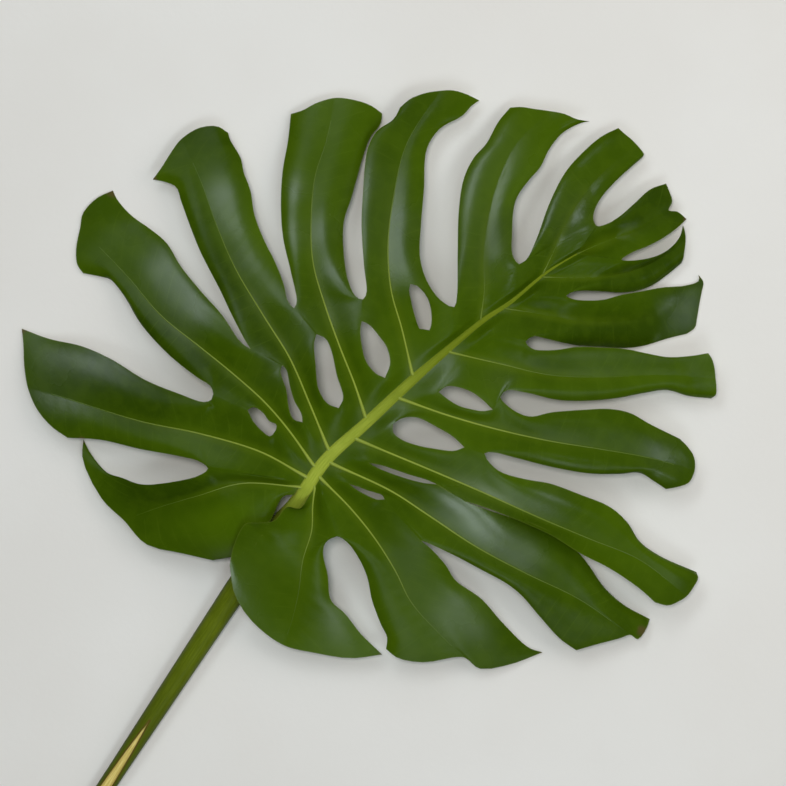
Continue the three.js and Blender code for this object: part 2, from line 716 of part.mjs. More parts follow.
// The petiole and midrib as rings of points joined from the cut end to the tip
function rodGeometry() {
  const steps = Math.round((PETIOLE_LENGTH + MIDRIB_LENGTH) / ROD_STEP);
  const rings = [];
  for (let step = 0; step <= steps; step += 1) {
    rings.push(rodRing(lerp(-PETIOLE_LENGTH, MIDRIB_LENGTH - 2 * JOINT_GAP, step / steps)));
  }
  const positions = rings.flatMap(({ ring }) => ring).concat([rings[0].heart, rings.at(-1).heart]);
  const cutCentre = positions.length - 2;
  const tipCentre = positions.length - 1;
  const lastRing = steps * ROD_SIDES;
  const index = [];
  for (let side = 0; side < ROD_SIDES; side += 1) {
    const next = (side + 1) % ROD_SIDES;
    for (let step = 0; step < steps; step += 1) {
      const [a, b] = [step * ROD_SIDES + side, step * ROD_SIDES + next];
      index.push(a, a + ROD_SIDES, b, b, a + ROD_SIDES, b + ROD_SIDES);
    }
    index.push(cutCentre, side, next, tipCentre, lastRing + next, lastRing + side);
  }
  const rod = new THREE.BufferGeometry();
  rod.setAttribute('position', new THREE.Float32BufferAttribute(positions.flat(), 3));
  rod.setIndex(index);
  return rod;
}

const bladeMaterial = new THREE.MeshStandardMaterial({ color: 0x3c5510, roughness: 0.4, metalness: 0 });
const stalkMaterial = new THREE.MeshStandardMaterial({ color: 0x76842d, roughness: 0.5, metalness: 0 });

const blade = new THREE.Mesh(bladeGeometry(), bladeMaterial);
blade.name = 'leaf_blade';
const stalk = new THREE.Mesh(rodGeometry(), stalkMaterial);
stalk.name = 'petiole_midrib';

// The midrib points along +Y, and the origin is under the middle of the leaf's box
const turned = new THREE.Group();
turned.add(blade, stalk);
turned.rotation.z = LEAF_TURN;
turned.updateMatrixWorld(true);
const box = new THREE.Box3().setFromObject(turned, true);
const centre = box.getCenter(new THREE.Vector3());
turned.position.set(-centre.x, -centre.y, -box.min.z);

const leaf = new THREE.Group();
leaf.name = 'monstera_leaf';
leaf.add(turned);

export default leaf;
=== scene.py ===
# %% [markdown]
# A cut monstera leaf, lying face up on a pale floor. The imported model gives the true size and
# place of two bodies, the blade and the stalk. This lesson dresses each with a finer mesh of the
# same shape, and with materials that show veins, wax and wear.
#
# Everything is in metres once it reaches Blender. The leaf's own outline is written in
# millimetres, in a flat "sheet" frame: the stalk meets the blade at (0, 0) and y points up the
# page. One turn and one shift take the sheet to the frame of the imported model.

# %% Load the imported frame
import math

import bpy
import mathutils
import numpy as np
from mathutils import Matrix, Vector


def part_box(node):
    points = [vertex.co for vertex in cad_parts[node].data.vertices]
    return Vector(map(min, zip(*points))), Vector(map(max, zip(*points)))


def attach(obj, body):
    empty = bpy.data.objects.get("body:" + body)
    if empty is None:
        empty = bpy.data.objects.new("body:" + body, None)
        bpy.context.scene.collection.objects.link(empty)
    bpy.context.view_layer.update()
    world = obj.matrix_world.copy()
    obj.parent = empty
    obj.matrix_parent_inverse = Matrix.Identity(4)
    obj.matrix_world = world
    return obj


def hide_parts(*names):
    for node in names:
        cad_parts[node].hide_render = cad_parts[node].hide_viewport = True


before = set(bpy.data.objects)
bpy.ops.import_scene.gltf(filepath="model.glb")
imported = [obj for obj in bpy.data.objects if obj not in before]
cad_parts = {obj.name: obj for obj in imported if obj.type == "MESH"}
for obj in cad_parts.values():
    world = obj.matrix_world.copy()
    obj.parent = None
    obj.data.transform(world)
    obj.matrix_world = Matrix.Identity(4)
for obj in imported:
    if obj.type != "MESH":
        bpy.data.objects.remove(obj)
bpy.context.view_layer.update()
MM = 0.001
print("CAD nodes:", sorted(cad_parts))

# %% [markdown]
# The outline of the leaf. A lobe has a vein that leaves the midrib at `vein_start`, the points of
# the vein's course, and seven points round its tip, from the side nearer the stalk to the far
# side. `tip_height` is how high the tip ends above the floor, and `hang` how far each free edge
# droops. Between two lobes lies a gap: a slit with two sides, and often an inner hole that the
# two lobes share. A dense mesh could be traced instead, but a few chosen points and smooth
# curves are easier to read and to change.

# %% Lobes
LEFT_LOBES = [
    {
        "vein_start": 4.8,
        "vein": [[-28.5, 6.5], [-50, 0.5], [-70, -5.5]],
        "tip": [
            [-44, -32.5], [-59, -29], [-77.5, -24.5], [-89, -12.5],
            [-100, -2], [-110, 18], [-109.75, 28],
        ],
        "tip_height": 9,
        "hang": [4, 3],
    },
    {
        "vein_start": 10.8,
        "vein": [[-19, 22], [-50, 31.25], [-78.5, 37], [-102.5, 44], [-120, 49.5]],
        "tip": [
            [-117, 29], [-125, 34.5], [-132.5, 43], [-137.5, 54],
            [-139.5, 65.5], [-140, 75.5], [-141, 84],
        ],
        "tip_height": 5,
        "hang": [2, 3],
    },
    {
        "vein_start": 17.4,
        "vein": [[-5, 32.5], [-17.5, 47], [-35, 62.5], [-50, 74.5], [-70, 90.5], [-87.5, 110.5]],
        "tip": [
            [-110, 112], [-113, 116.5], [-113.5, 124.5], [-111.5, 135],
            [-110, 142.5], [-103, 150], [-95, 153.75],
        ],
        "tip_height": -3,
        "hang": [3, 3],
    },
    {
        "vein_start": 27.9,
        "vein": [[5.5, 45], [-5, 69], [-17.5, 89], [-32.5, 114], [-42.5, 137], [-50, 158]],
        "tip": [
            [-74.5, 159], [-70, 165], [-65, 173], [-60, 179.5],
            [-51, 185], [-42, 185.75], [-36.5, 182.5],
        ],
        "tip_height": 6,
        "hang": [3, 4],
    },
    {
        "vein_start": 52.3,
        "vein": [
            [27.5, 55.5], [20, 74.5], [12.5, 95.5], [6.5, 117],
            [5.5, 138], [7.5, 160.5], [13, 178],
        ],
        "tip": [
            [-5, 192.25], [1, 194], [7.5, 197.5], [17.5, 200.25],
            [27.5, 199], [35, 196.5], [41, 192.5],
        ],
        "tip_height": 5,
        "hang": [3, 6],
    },
    {
        "vein_start": 83.8,
        "vein": [[51, 83], [45.5, 103], [44, 125.5], [46.5, 148], [53, 175.5]],
        "tip": [
            [50, 195], [55, 199.25], [62.5, 202.25], [70, 203.5],
            [76.5, 203.75], [83, 202], [90, 198.75],
        ],
        "tip_height": 9,
        "hang": [1, 4],
    },
    {
        "vein_start": 127.3,
        "vein": [[92, 103], [91.75, 120.5], [94, 138], [98.5, 155.5], [107.5, 175.5]],
        "tip": [
            [105.5, 195.25], [111, 195.5], [117.5, 194.5], [125, 193.5],
            [132.5, 192], [139, 189.25], [145.5, 188.25],
        ],
        "tip_height": 7,
        "hang": [3, 4],
    },
    {
        "vein_start": 166,
        "vein": [[126.5, 121.5], [131, 132], [138.5, 145.5], [150, 160.5]],
        "tip": [
            [160, 185], [163, 182], [166, 179.5], [169, 176.5],
            [171.5, 173.5], [172.75, 171.5], [172, 170],
        ],
        "tip_height": 8,
        "hang": [3, 3],
    },
]

RIGHT_LOBES = [
    {
        "vein_start": 9,
        "vein": [[6.5, -4.5], [6, -17], [1.5, -32], [-0.5, -47], [-4, -62]],
        "tip": [
            [-35, -34.5], [-32.5, -49.5], [-24, -63], [-8.5, -75],
            [7.5, -79], [25, -81.75], [41, -80],
        ],
        "tip_height": 14,
        "hang": [-5, 3],
    },
    {
        "vein_start": 14.2,
        "vein": [[25, -5.5], [37.5, -21], [47.5, -37], [55.5, -53], [68, -67.5]],
        "tip": [
            [43, -77], [49, -81.5], [62, -83.75], [82, -81.5],
            [90, -87.25], [106, -85.25], [122, -79.5],
        ],
        "tip_height": 9,
        "hang": [3, 4],
    },
    {
        "vein_start": 23.7,
        "vein": [[45, 3], [65, -10], [87.5, -25], [112.5, -38.5], [140, -52]],
        "tip": [
            [138.5, -77.75], [149, -74.75], [160, -72], [166, -70.25],
            [169.75, -72.5], [174, -67.5], [176, -62.5],
        ],
        "tip_height": 8,
        "hang": [3, 5],
    },
    {
        "vein_start": 41.5,
        "vein": [[65, 13.25], [90, 2.5], [120, -11], [145, -21.5], [170, -32]],
        "tip": [
            [177.5, -53.25], [184.5, -55], [190, -53], [194, -50.5],
            [198, -45], [199.75, -41.5], [199, -38.5],
        ],
        "tip_height": 12,
        "hang": [-2, 4],
    },
    {
        "vein_start": 71,
        "vein": [[75, 40], [100, 33], [125, 27.5], [150, 23.5], [175, 19]],
        "tip": [
            [183.5, 3.25], [190, 4.5], [195, 6.5], [198, 12.5],
            [197.75, 19], [195, 23.75], [190.5, 28.5],
        ],
        "tip_height": 12,
        "hang": [4, 3],
    },
    {
        "vein_start": 105,
        "vein": [[100, 66], [125, 60.5], [152.5, 59.5], [180, 60.5]],
        "tip": [
            [206.5, 48.75], [208.75, 50.5], [209, 54], [208.5, 59],
            [207.75, 64.5], [206.5, 68.5], [204.5, 71.5],
        ],
        "tip_height": 12,
        "hang": [4, 0],
    },
    {
        "vein_start": 140.4,
        "vein": [[120, 91], [135, 88], [160, 87.5], [180, 90.5]],
        "tip": [
            [195, 81.5], [199, 84.5], [200, 89], [201.25, 96.5],
            [202.5, 103], [203.25, 107.5], [200.75, 111.25],
        ],
        "tip_height": -3,
        "hang": [4, 1],
    },
    {
        "vein_start": 164.8,
        "vein": [[150, 109.5], [170, 114], [185, 121.5]],
        "tip": [
            [192, 117], [192.75, 119.5], [193.25, 123], [193.75, 127],
            [193.75, 130.5], [193.25, 133.5], [192.5, 136],
        ],
        "tip_height": 7,
        "hang": [4, 2],
    },
]

END_LOBE = {
    "vein": [[150, 126.25], [160, 130.25], [170.5, 134.5]],
    "tip": [
        [184, 157], [185.5, 153], [187, 148], [185.25, 143.5],
        [189.5, 142.75], [192, 141], [194.25, 139],
    ],
    "tip_height": 8,
    "hang": [3, 2],
}

# The free edges on each side of the petiole, where the basal lobes don't join, and how far
# along the midrib each starts
LEFT_SINUS = {
    "root": 0,
    "edge": [[-8, 0], [-14.25, -11.5], [-22.5, -24.5], [-32.5, -30], [-44, -32.5]],
}
RIGHT_SINUS = {
    "root": 4,
    "edge": [
        [0, -6], [-6, -5], [-12.5, -11.75], [-20, -12.75], [-26.5, -13.25],
        [-30, -18], [-33.5, -27], [-35, -34.5],
    ],
}

# Each gap between two lobes: the slit's inner end, its two sides out to the tips' corners
# (basal: the lobe nearer the petiole), and the inner hole, if any, with its own two sides.
LEFT_GAPS = [
    {
        "end": [-45.5, 14],
        "basal": [
            [-50, 10.5], [-67.5, 6.5], [-80, 5.75], [-90, 9],
            [-97.5, 11.5], [-106, 21], [-109.75, 28],
        ],
        "apical": [[-50, 17.5], [-60, 20], [-80, 23.5], [-100, 28], [-117, 29]],
    },
    {
        "hole": {
            "near": [-11.75, 33],
            "far": [-25.75, 43],
            "basal": [[-14.5, 30], [-19, 33], [-23, 37.5]],
            "apical": [[-11.5, 35.75], [-15, 37.5], [-18.5, 42], [-23, 44.5]],
        },
        "end": [-43, 51],
        "basal": [
            [-43.5, 48.5], [-47.5, 47], [-60, 51], [-77.5, 58],
            [-95, 68.5], [-110, 75], [-127.5, 79], [-141, 84],
        ],
        "apical": [
            [-44.5, 55], [-50, 58.5], [-65, 70], [-80, 86],
            [-89, 100.5], [-96, 108.75], [-101, 110.25], [-110, 112],
        ],
    },
    {
        "hole": {
            "near": [1.5, 37],
            "far": [-8.5, 65.25],
            "basal": [[-3, 38.5], [-5.25, 44], [-6.5, 53], [-9.5, 62.5]],
            "apical": [[1, 41], [-2.5, 47.5], [-5, 56], [-6.5, 63]],
        },
        "end": [-24.5, 73.5],
        "basal": [
            [-29.5, 77], [-39, 90.5], [-50, 102.75], [-60, 115], [-67.5, 127],
            [-75, 133.5], [-86, 141.5], [-93, 149.5], [-95, 153.75],
        ],
        "apical": [
            [-26.5, 76.5], [-33.5, 89.5], [-40, 103], [-50, 122.25], [-55, 134.5],
            [-60, 148], [-62.5, 155], [-67.5, 157.5], [-74.5, 159],
        ],
    },
    {
        "hole": {
            "near": [19.5, 44],
            "far": [8.5, 80.75],
            "basal": [[14, 46.25], [9.5, 53.5], [8, 66], [7.25, 76.5]],
            "apical": [[21.75, 49], [18.5, 60.5], [16, 72], [13, 78.5]],
        },
        "end": [-2.75, 93.75],
        "basal": [
            [-6, 97.5], [-8, 105.5], [-12.5, 117], [-18, 128], [-23, 141], [-25, 153], [-28.5, 162.5],
            [-30, 169.5], [-35.5, 179], [-36.5, 182.5],
        ],
        "apical": [
            [-1.5, 97], [-4.5, 112], [-8.5, 129], [-9.75, 145.5],
            [-9, 163], [-6.5, 178], [-5, 192.25],
        ],
    },
    {
        "hole": {
            "near": [42.5, 59],
            "far": [31, 87.25],
            "basal": [[38, 61.25], [33, 67.5], [31, 75], [30.25, 83]],
            "apical": [[45, 66], [43.5, 74], [39, 80.5], [34.5, 85.5]],
        },
        "end": [31.5, 98],
        "basal": [
            [28, 99.5], [24, 108], [21.75, 123], [22, 138], [25.5, 149], [30, 165.5], [32.5, 174],
            [35.5, 181], [39, 185.25], [40.75, 189], [41, 192.5],
        ],
        "apical": [
            [33.25, 101], [32, 115.5], [30.75, 135.5], [31.5, 153], [32.5, 166.5],
            [33.75, 174], [36.5, 180.5], [40, 184.5], [45, 187.5], [48, 190.75], [50, 195],
        ],
    },
    {
        "end": [77, 94.25],
        "basal": [
            [71, 97], [64, 106], [60, 119], [60.5, 135.5], [62, 153], [63.5, 174], [70, 184.25],
            [81.5, 191], [86, 196], [90, 198.75],
        ],
        "apical": [
            [78.25, 99], [78.75, 120.5], [79.5, 144], [82, 159],
            [87, 169.5], [93.5, 177], [99.5, 188], [105.5, 195.25],
        ],
    },
    {
        "end": [109.5, 115.75],
        "basal": [
            [106.25, 120], [106, 132], [108, 148], [114.5, 158], [120.5, 165], [125, 174], [132, 182.5],
            [141.5, 187.5], [145.5, 188.25],
        ],
        "apical": [
            [113, 118], [118, 128], [125.5, 148], [133.5, 163],
            [144, 174.5], [152, 181], [160, 185],
        ],
    },
    {
        "end": [148.5, 135.25],
        "basal": [[146.75, 139.5], [150, 148], [157.5, 157], [165, 164], [172, 170]],
        "apical": [[153, 136], [160, 140], [167.5, 146.5], [176, 154], [184, 157]],
    },
]

# The hole that lies beside a slit instead of in line with it
LONE_HOLE = [
    [62.75, 80.5], [65.25, 84.5], [65.5, 92], [63.5, 99], [59.5, 104], [55.75, 106.25],
    [54.5, 104], [55.5, 97.5], [57.5, 89.5], [59.75, 83.5],
]

RIGHT_GAPS = [
    {
        "end": [18.5, -19.75],
        "basal": [
            [13, -23], [11.75, -28], [14, -39.5], [15.5, -52],
            [22.5, -59], [30, -69], [41, -80],
        ],
        "apical": [
            [23.5, -22.5], [29, -30], [33.5, -40], [36, -52],
            [40.5, -64.5], [43.5, -71], [43, -77],
        ],
    },
    {
        "hole": {
            "near": [24.75, 6.25],
            "far": [42.25, -1.25],
            "basal": [[28, 3.75], [32, 1.5], [35.5, -0.25], [39, -1.5]],
            "apical": [[29, 5], [33.5, 3.25], [37.5, 2], [41, 0.75]],
        },
        "end": [60.5, -22],
        "basal": [
            [65, -25.75], [73, -34.75], [77.5, -42], [91, -52],
            [101.5, -64], [115, -77], [122, -79.5],
        ],
        "apical": [
            [75, -28.5], [90, -36.5], [104, -44.25], [111, -50],
            [120, -60.5], [130.5, -72], [138.5, -77.75],
        ],
    },
    {
        "hole": {
            "near": [34.5, 16.75],
            "far": [68.5, 6],
            "basal": [[39.5, 14], [46.5, 11.25], [54, 8.75], [62, 6.75]],
            "apical": [[41, 15.5], [48.5, 13], [56, 10.5], [63.5, 8.25]],
        },
        "end": [82.5, -2.5],
        "basal": [
            [95, -7.25], [105, -10.5], [117.5, -14.25], [130, -21], [139, -28], [145, -35.25],
            [152.5, -46], [162.5, -55], [176, -62.5],
        ],
        "apical": [
            [95, -6.5], [110, -12.5], [125, -19.25], [140, -28.5],
            [155, -36.25], [170, -46.5], [177.5, -53.25],
        ],
    },
    {
        "hole": {
            "near": [46.5, 36],
            "far": [82, 24.5],
            "basal": [[46.5, 32], [50.5, 28.5], [58.5, 25.5], [67.5, 23.75], [77, 22.75]],
            "apical": [[50.5, 38.75], [58.5, 39.25], [67.5, 35], [76, 30]],
        },
        "end": [92, 21.5],
        "basal": [
            [94, 17.5], [100, 12.25], [112.5, 8.5], [125, 6.25], [140, 0.75], [155, -5.5], [164, -13.5],
            [170, -22.75], [180, -30], [199, -38.5],
        ],
        "apical": [
            [96, 22], [107.5, 19.25], [125, 14.75], [145, 11.25],
            [160, 11], [170, 11.5], [177, 7.5], [183.5, 3.25],
        ],
    },
    {
        "hole": {
            "near": [69.25, 52],
            "far": [96, 43.25],
            "basal": [[73, 49], [79, 45.25], [85, 43.5], [91, 42.5]],
            "apical": [[73, 54.75], [79.5, 54.25], [86, 51.75], [92, 47.25]],
        },
        "end": [99.75, 49.5],
        "basal": [
            [102.5, 46], [109, 41.5], [115.5, 39.75], [125, 41.75], [140, 43], [155, 43.5], [165, 41.5],
            [175, 36], [190.5, 28.5],
        ],
        "apical": [
            [103, 52.75], [112.5, 51.75], [127.5, 48.25], [140, 47.5], [157.5, 48.75], [172.5, 51.5],
            [184, 53], [195, 50], [206.5, 48.75],
        ],
    },
    {
        "end": [112.5, 77],
        "basal": [
            [116, 73.5], [122.5, 72.75], [130, 73.25], [138, 74.5], [150, 74.25],
            [162.5, 73.5], [175, 71], [184, 69.5], [195, 70], [204.5, 71.5],
        ],
        "apical": [
            [116.5, 79.75], [122.5, 78.75], [130, 77], [138, 75.5], [150, 74.75], [162.5, 74.25],
            [172.5, 75.25], [185, 79], [195, 81.5],
        ],
    },
    {
        "end": [133, 100],
        "basal": [
            [137, 98.25], [145, 97.75], [152, 98.25], [161, 100.75], [170, 102.4], [182.5, 104.75],
            [194, 105.75], [201, 108.25], [200.75, 111.25],
        ],
        "apical": [
            [137.5, 102.25], [150, 102.5], [161, 101.9], [170, 103.1],
            [177.5, 106], [185, 111.25], [192, 117],
        ],
    },
    {
        "end": [161, 118.25],
        "basal": [[167.5, 118], [178.5, 120.25], [186, 124.5], [191, 130.5], [192.5, 136]],
        "apical": [[166, 121.75], [175, 125.5], [184, 130.5], [190, 135], [194.25, 139]],
    },
]

# %% [markdown]
# Smooth lines. A centripetal Catmull-Rom curve passes through every chosen point without
# looping at sharp turns, so it suits drawn outlines. Blender's own curve objects could
# do this too, but plain arrays let the same line feed the mesh, the veins and the materials.

# %% Curve helpers
SAMPLES_PER_SPAN = 24


def smooth_line(points):
    """A dense polyline through the points."""
    p = np.array(points, float)
    p = np.vstack([2 * p[0] - p[1], p, 2 * p[-1] - p[-2]])
    t = np.linspace(0, 1, SAMPLES_PER_SPAN, endpoint=False)[:, None]
    spans = []
    for p0, p1, p2, p3 in zip(p, p[1:], p[2:], p[3:]):
        d0, d1, d2 = (max(np.linalg.norm(b - a) ** 0.5, 1e-4) for a, b in ((p0, p1), (p1, p2), (p2, p3)))
        m1 = ((p1 - p0) / d0 - (p2 - p0) / (d0 + d1) + (p2 - p1) / d1) * d1
        m2 = ((p2 - p1) / d1 - (p3 - p1) / (d1 + d2) + (p3 - p2) / d2) * d1
        bend2, bend3 = 3 * (p2 - p1) - 2 * m1 - m2, 2 * (p1 - p2) + m1 + m2
        spans.append(p1 + t * m1 + t ** 2 * bend2 + t ** 3 * bend3)
    return np.vstack([*spans, p[-2:-1]])


def arc_shares(line):
    """Share of the line's length reached at each of its points."""
    lengths = np.r_[0, np.cumsum(np.linalg.norm(np.diff(line, axis=0), axis=1))]
    return lengths / lengths[-1]


def at_shares(line, shares):
    """Points of a line at shares of its length."""
    own = arc_shares(line)
    return np.stack([np.interp(shares, own, column) for column in line.T], axis=1)


def smoothstep(x, low, high):
    t = np.clip((x - low) / (high - low), 0, 1)
    return t * t * (3 - 2 * t)


# %% [markdown]
# The spine: the stalk and the midrib are one line, measured from the point where the blade
# begins. Half-widths along it set how wide the slot in the blade is.

# %% Spine of the leaf
MIDRIB_POINTS = [
    [0, -1], [12.8, 17.8], [32.8, 36.2], [56.2, 57.9], [79.5, 78], [93, 88.8],
    [104.6, 96.4], [123.5, 111.9], [138.5, 121.1], [158.5, 129.5],
]
MIDRIB_LENGTH = 186
MIDRIB_HALF_WIDTHS = [[0, 4], [50, 3.4], [80, 3.1], [113, 2], [168, 1], [MIDRIB_LENGTH, 0.8]]
PETIOLE_TOWARDS = np.array([-0.55, -0.835]) / np.hypot(0.55, 0.835)
PETIOLE_SWELL = 25
PETIOLE_SIDESTEP = 1.7
SPINE_SAMPLES, TANGENT_STEP = 400, 0.002

midrib_line = smooth_line(MIDRIB_POINTS)
midrib_reach = np.linalg.norm(np.diff(midrib_line, axis=0), axis=1).sum()
midrib_stations = at_shares(midrib_line, np.linspace(0, 1, SPINE_SAMPLES))


def along_pairs(pairs, x):
    return np.interp(x, *np.array(pairs, float).T)


def spine_at(station):
    """Point and leftward direction at a distance from the junction, negative on the stalk."""
    station = np.atleast_1d(np.asarray(station, float))
    share = np.clip(station / midrib_reach, 0, 1)
    point = at_shares(midrib_line, share)
    tangent = at_shares(midrib_line, np.clip(share + TANGENT_STEP, 0, 1))
    tangent -= at_shares(midrib_line, np.clip(share - TANGENT_STEP, 0, 1))
    on_stalk = station <= 0
    tangent[on_stalk] = -PETIOLE_TOWARDS
    tangent /= np.linalg.norm(tangent, axis=1, keepdims=True)
    left = np.stack([-tangent[:, 1], tangent[:, 0]], axis=1)
    point = point + tangent * np.minimum(station, 0)[:, None]
    sidestep = PETIOLE_SIDESTEP * smoothstep(-station, 0, PETIOLE_SWELL)
    return point + left * sidestep[:, None], left


# %% [markdown]
# Heights. The blade is a low arch: a ridge along the midrib, and wings that rise a little and
# then fall to the margin. Each lobe adds its own bend: quilted between veins, drooping at free
# edges. The numbers are those of the solid model, so the fine mesh lies where the solid lies.
# The ridge's crest follows a plain arc instead of the midrib's small bends: far from a wavy line
# the nearest point on it jumps, and each jump would leave a step in the blade.

# %% Height rule of the blade
BLADE_THICKNESS = 0.8
RIDGE_HEIGHT, RIDGE_FALL = 26, 15
WING_RISE, WING_REACH = 6, 45
WING_FALL, WING_SPAN, WING_POWER = 22, 150, 1.6
QUILT_HEIGHT, QUILT_TIP_LOSS = 2.4, 0.6
EDGE_CURL_POWER = 2.5
RIDGE_BEND = [66.2, 80.1]
POINTS_AT_ONCE = 4000


def bent_line(start, bend, end):
    """A plain arc from start to end, pulled towards the bend."""
    t = np.linspace(0, 1, 300)[:, None]
    return (1 - t) ** 2 * np.array(start) + 2 * t * (1 - t) * np.array(bend) + t ** 2 * np.array(end)


ridge_line = bent_line(MIDRIB_POINTS[0], RIDGE_BEND, MIDRIB_POINTS[-1])
ridge_stations = at_shares(ridge_line, np.linspace(0, 1, SPINE_SAMPLES))


def nearest(points, stations):
    """Index of the nearest station and the distance to it, for each point."""
    offsets = points[:, None, :] - stations[None, :, :]
    distances = np.hypot(offsets[..., 0], offsets[..., 1])
    index = distances.argmin(axis=1)
    return index, distances[np.arange(len(points)), index]


def arch_height(points):
    flat = points.reshape(-1, 2)
    height = np.empty(len(flat))
    for part in np.array_split(np.arange(len(flat)), max(1, len(flat) // POINTS_AT_ONCE)):
        distance = nearest(flat[part], midrib_stations)[1]
        station = nearest(flat[part], ridge_stations)[0]
        ridge = RIDGE_HEIGHT - RIDGE_FALL * (station / (len(ridge_stations) - 1)) ** 3
        reach = distance / WING_REACH
        wing = WING_RISE * reach * np.exp(1 - reach)
        wing -= WING_FALL * (distance / WING_SPAN) ** WING_POWER
        height[part] = ridge + wing
    return height.reshape(points.shape[:-1])


# %% [markdown]
# One lobe is a grid: rows run from the midrib to the tip, columns from edge to edge with the vein
# in the middle. Neighbouring lobes share the points of the web between them, so all grids weld
# into one sheet, and what they don't share is a slit or a hole. Cutting holes with booleans
# would also work, but a grid that follows the veins gives every point a place along and across
# its lobe, which the materials need.

# %% Lobe grids
WEB_ROWS, HOLE_ROWS, BRIDGE_ROWS, SLIT_ROWS = 2, 5, 1, 9
JOINED_ROWS = WEB_ROWS + HOLE_ROWS + BRIDGE_ROWS
ALL_ROWS = JOINED_ROWS + SLIT_ROWS
EDGE_FREE_ROWS = 3
STEPS = {"web": 7, "hole": 20, "bridge": 4, "slit": 44}
TIP_STOPS = [0, 0.4, 0.7, 1]
ACROSS = np.array([0, 0.03, 0.075, 0.14, 0.22, 0.31, 0.41, 0.52, 0.63, 0.74, 0.84, 0.92, 0.975, 1])

web_rows = np.linspace(0, WEB_ROWS, STEPS["web"] + 1)
hole_rows = np.linspace(WEB_ROWS, WEB_ROWS + HOLE_ROWS, STEPS["hole"] + 1)
bridge_rows = np.linspace(WEB_ROWS + HOLE_ROWS, JOINED_ROWS, STEPS["bridge"] + 1)
slit_rows = np.linspace(JOINED_ROWS, ALL_ROWS, STEPS["slit"] + 1)
rows = np.concatenate([web_rows, hole_rows[1:], bridge_rows[1:], slit_rows[1:]])
slit_share = np.clip((rows - JOINED_ROWS) / SLIT_ROWS, 0, 1)
SEAT = -0.6
LANDING = 2


def slot_edge(station, side):
    """Where the blade meets the midrib, tucked a little under its flank."""
    point, left = spine_at(station)
    return point + left * side * (along_pairs(MIDRIB_HALF_WIDTHS, station) + SEAT)[..., None]


def even_points(points, count):
    return at_shares(smooth_line(points), np.linspace(0, 1, count + 1))


def gap_side(gap, root, name):
    """One side of a gap, from the midrib to the tip's corner."""
    other = gap["apical" if name == "basal" else "basal"]
    round_end = smooth_line([other[0], gap["end"], *gap[name]])[SAMPLES_PER_SPAN:]
    slit = at_shares(round_end, np.linspace(0, 1, STEPS["slit"] + 1))
    if "hole" not in gap:
        joined = rows[rows <= JOINED_ROWS] / JOINED_ROWS
        return np.vstack([root + (np.array(gap["end"]) - root) * joined[:, None], slit[1:]])
    near, far = gap["hole"]["near"], gap["hole"]["far"]
    web = even_points([root, near], STEPS["web"])
    hole = even_points([near, *gap["hole"][name], far], STEPS["hole"])
    bridge = even_points([far, gap["end"]], STEPS["bridge"])
    return np.vstack([web, hole[1:], bridge[1:], slit[1:]])


def tip_bulge(tip, towards):
    """How far the tip's outline departs from a straight cut, at each column of one side."""
    mid = (len(tip) - 1) // 2
    curve = smooth_line(tip)
    places = np.interp(ACROSS, TIP_STOPS, range(mid + 1)) * towards + mid
    knots = np.arange(len(curve)) / SAMPLES_PER_SPAN
    on_tip = np.stack([np.interp(places, knots, column) for column in curve.T], axis=1)
    middle, corner = np.array(tip[mid], float), np.array(tip[mid + towards * mid], float)
    return on_tip - (middle + (corner - middle) * ACROSS[:, None])


def landed(height):
    """Heights that come to rest on the floor without a crease where they reach it."""
    above = height - BLADE_THICKNESS / 2
    return BLADE_THICKNESS / 2 + (above + np.sqrt(above ** 2 + LANDING ** 2)) / 2


def lobe_side(lobe, middle, edge, base, side_index, free_from, tip_lift, quilt):
    """Points (rows, columns, xyz) of one half of a lobe, from its vein to its edge."""
    plan = middle[:, None, :] + (edge - middle)[:, None, :] * ACROSS[None, :, None]
    plan[0] = base
    towards = -1 if side_index == 0 else 1
    plan += tip_bulge(lobe["tip"], towards)[None] * (slit_share ** 3)[:, None, None]
    free = smoothstep(rows, free_from, free_from + EDGE_FREE_ROWS)
    height = arch_height(plan)
    height += quilt[:, None] * np.sin(ACROSS * math.pi / 2)[None] ** 2
    height += (tip_lift * smoothstep(slit_share, 0, 1))[:, None]
    height -= lobe["hang"][side_index] * ACROSS[None] ** EDGE_CURL_POWER * free[:, None]
    return np.dstack([plan, landed(height)])


def lobe_halves(lobe, base_point, sides, free_from):
    """The two halves of a lobe, and the distance along its vein at each row."""
    shares = (arc_shares(sides[0]) + arc_shares(sides[1])) / 2
    mid = (len(lobe["tip"]) - 1) // 2
    start = base_point(0, np.zeros(1))[0]
    vein = smooth_line([start, *lobe["vein"], lobe["tip"][mid]])
    middle = at_shares(vein, shares)
    tip_lift = lobe["tip_height"] - arch_height(np.array([lobe["tip"][mid]], float))[0]
    quilt = QUILT_HEIGHT * smoothstep(rows, 0, WEB_ROWS) * (1 - QUILT_TIP_LOSS * slit_share)
    halves = [
        lobe_side(lobe, middle, sides[i], base_point(i, ACROSS), i, free_from[i], tip_lift, quilt)
        for i in (0, 1)
    ]
    length = np.linalg.norm(np.diff(vein, axis=0), axis=1).sum()
    return halves, shares * length


# %% [markdown]
# All lobes. On each side they follow one another up the midrib, each between two gaps, and the
# first has a free edge beside the stalk. The end lobe lies between the last gaps of both sides.

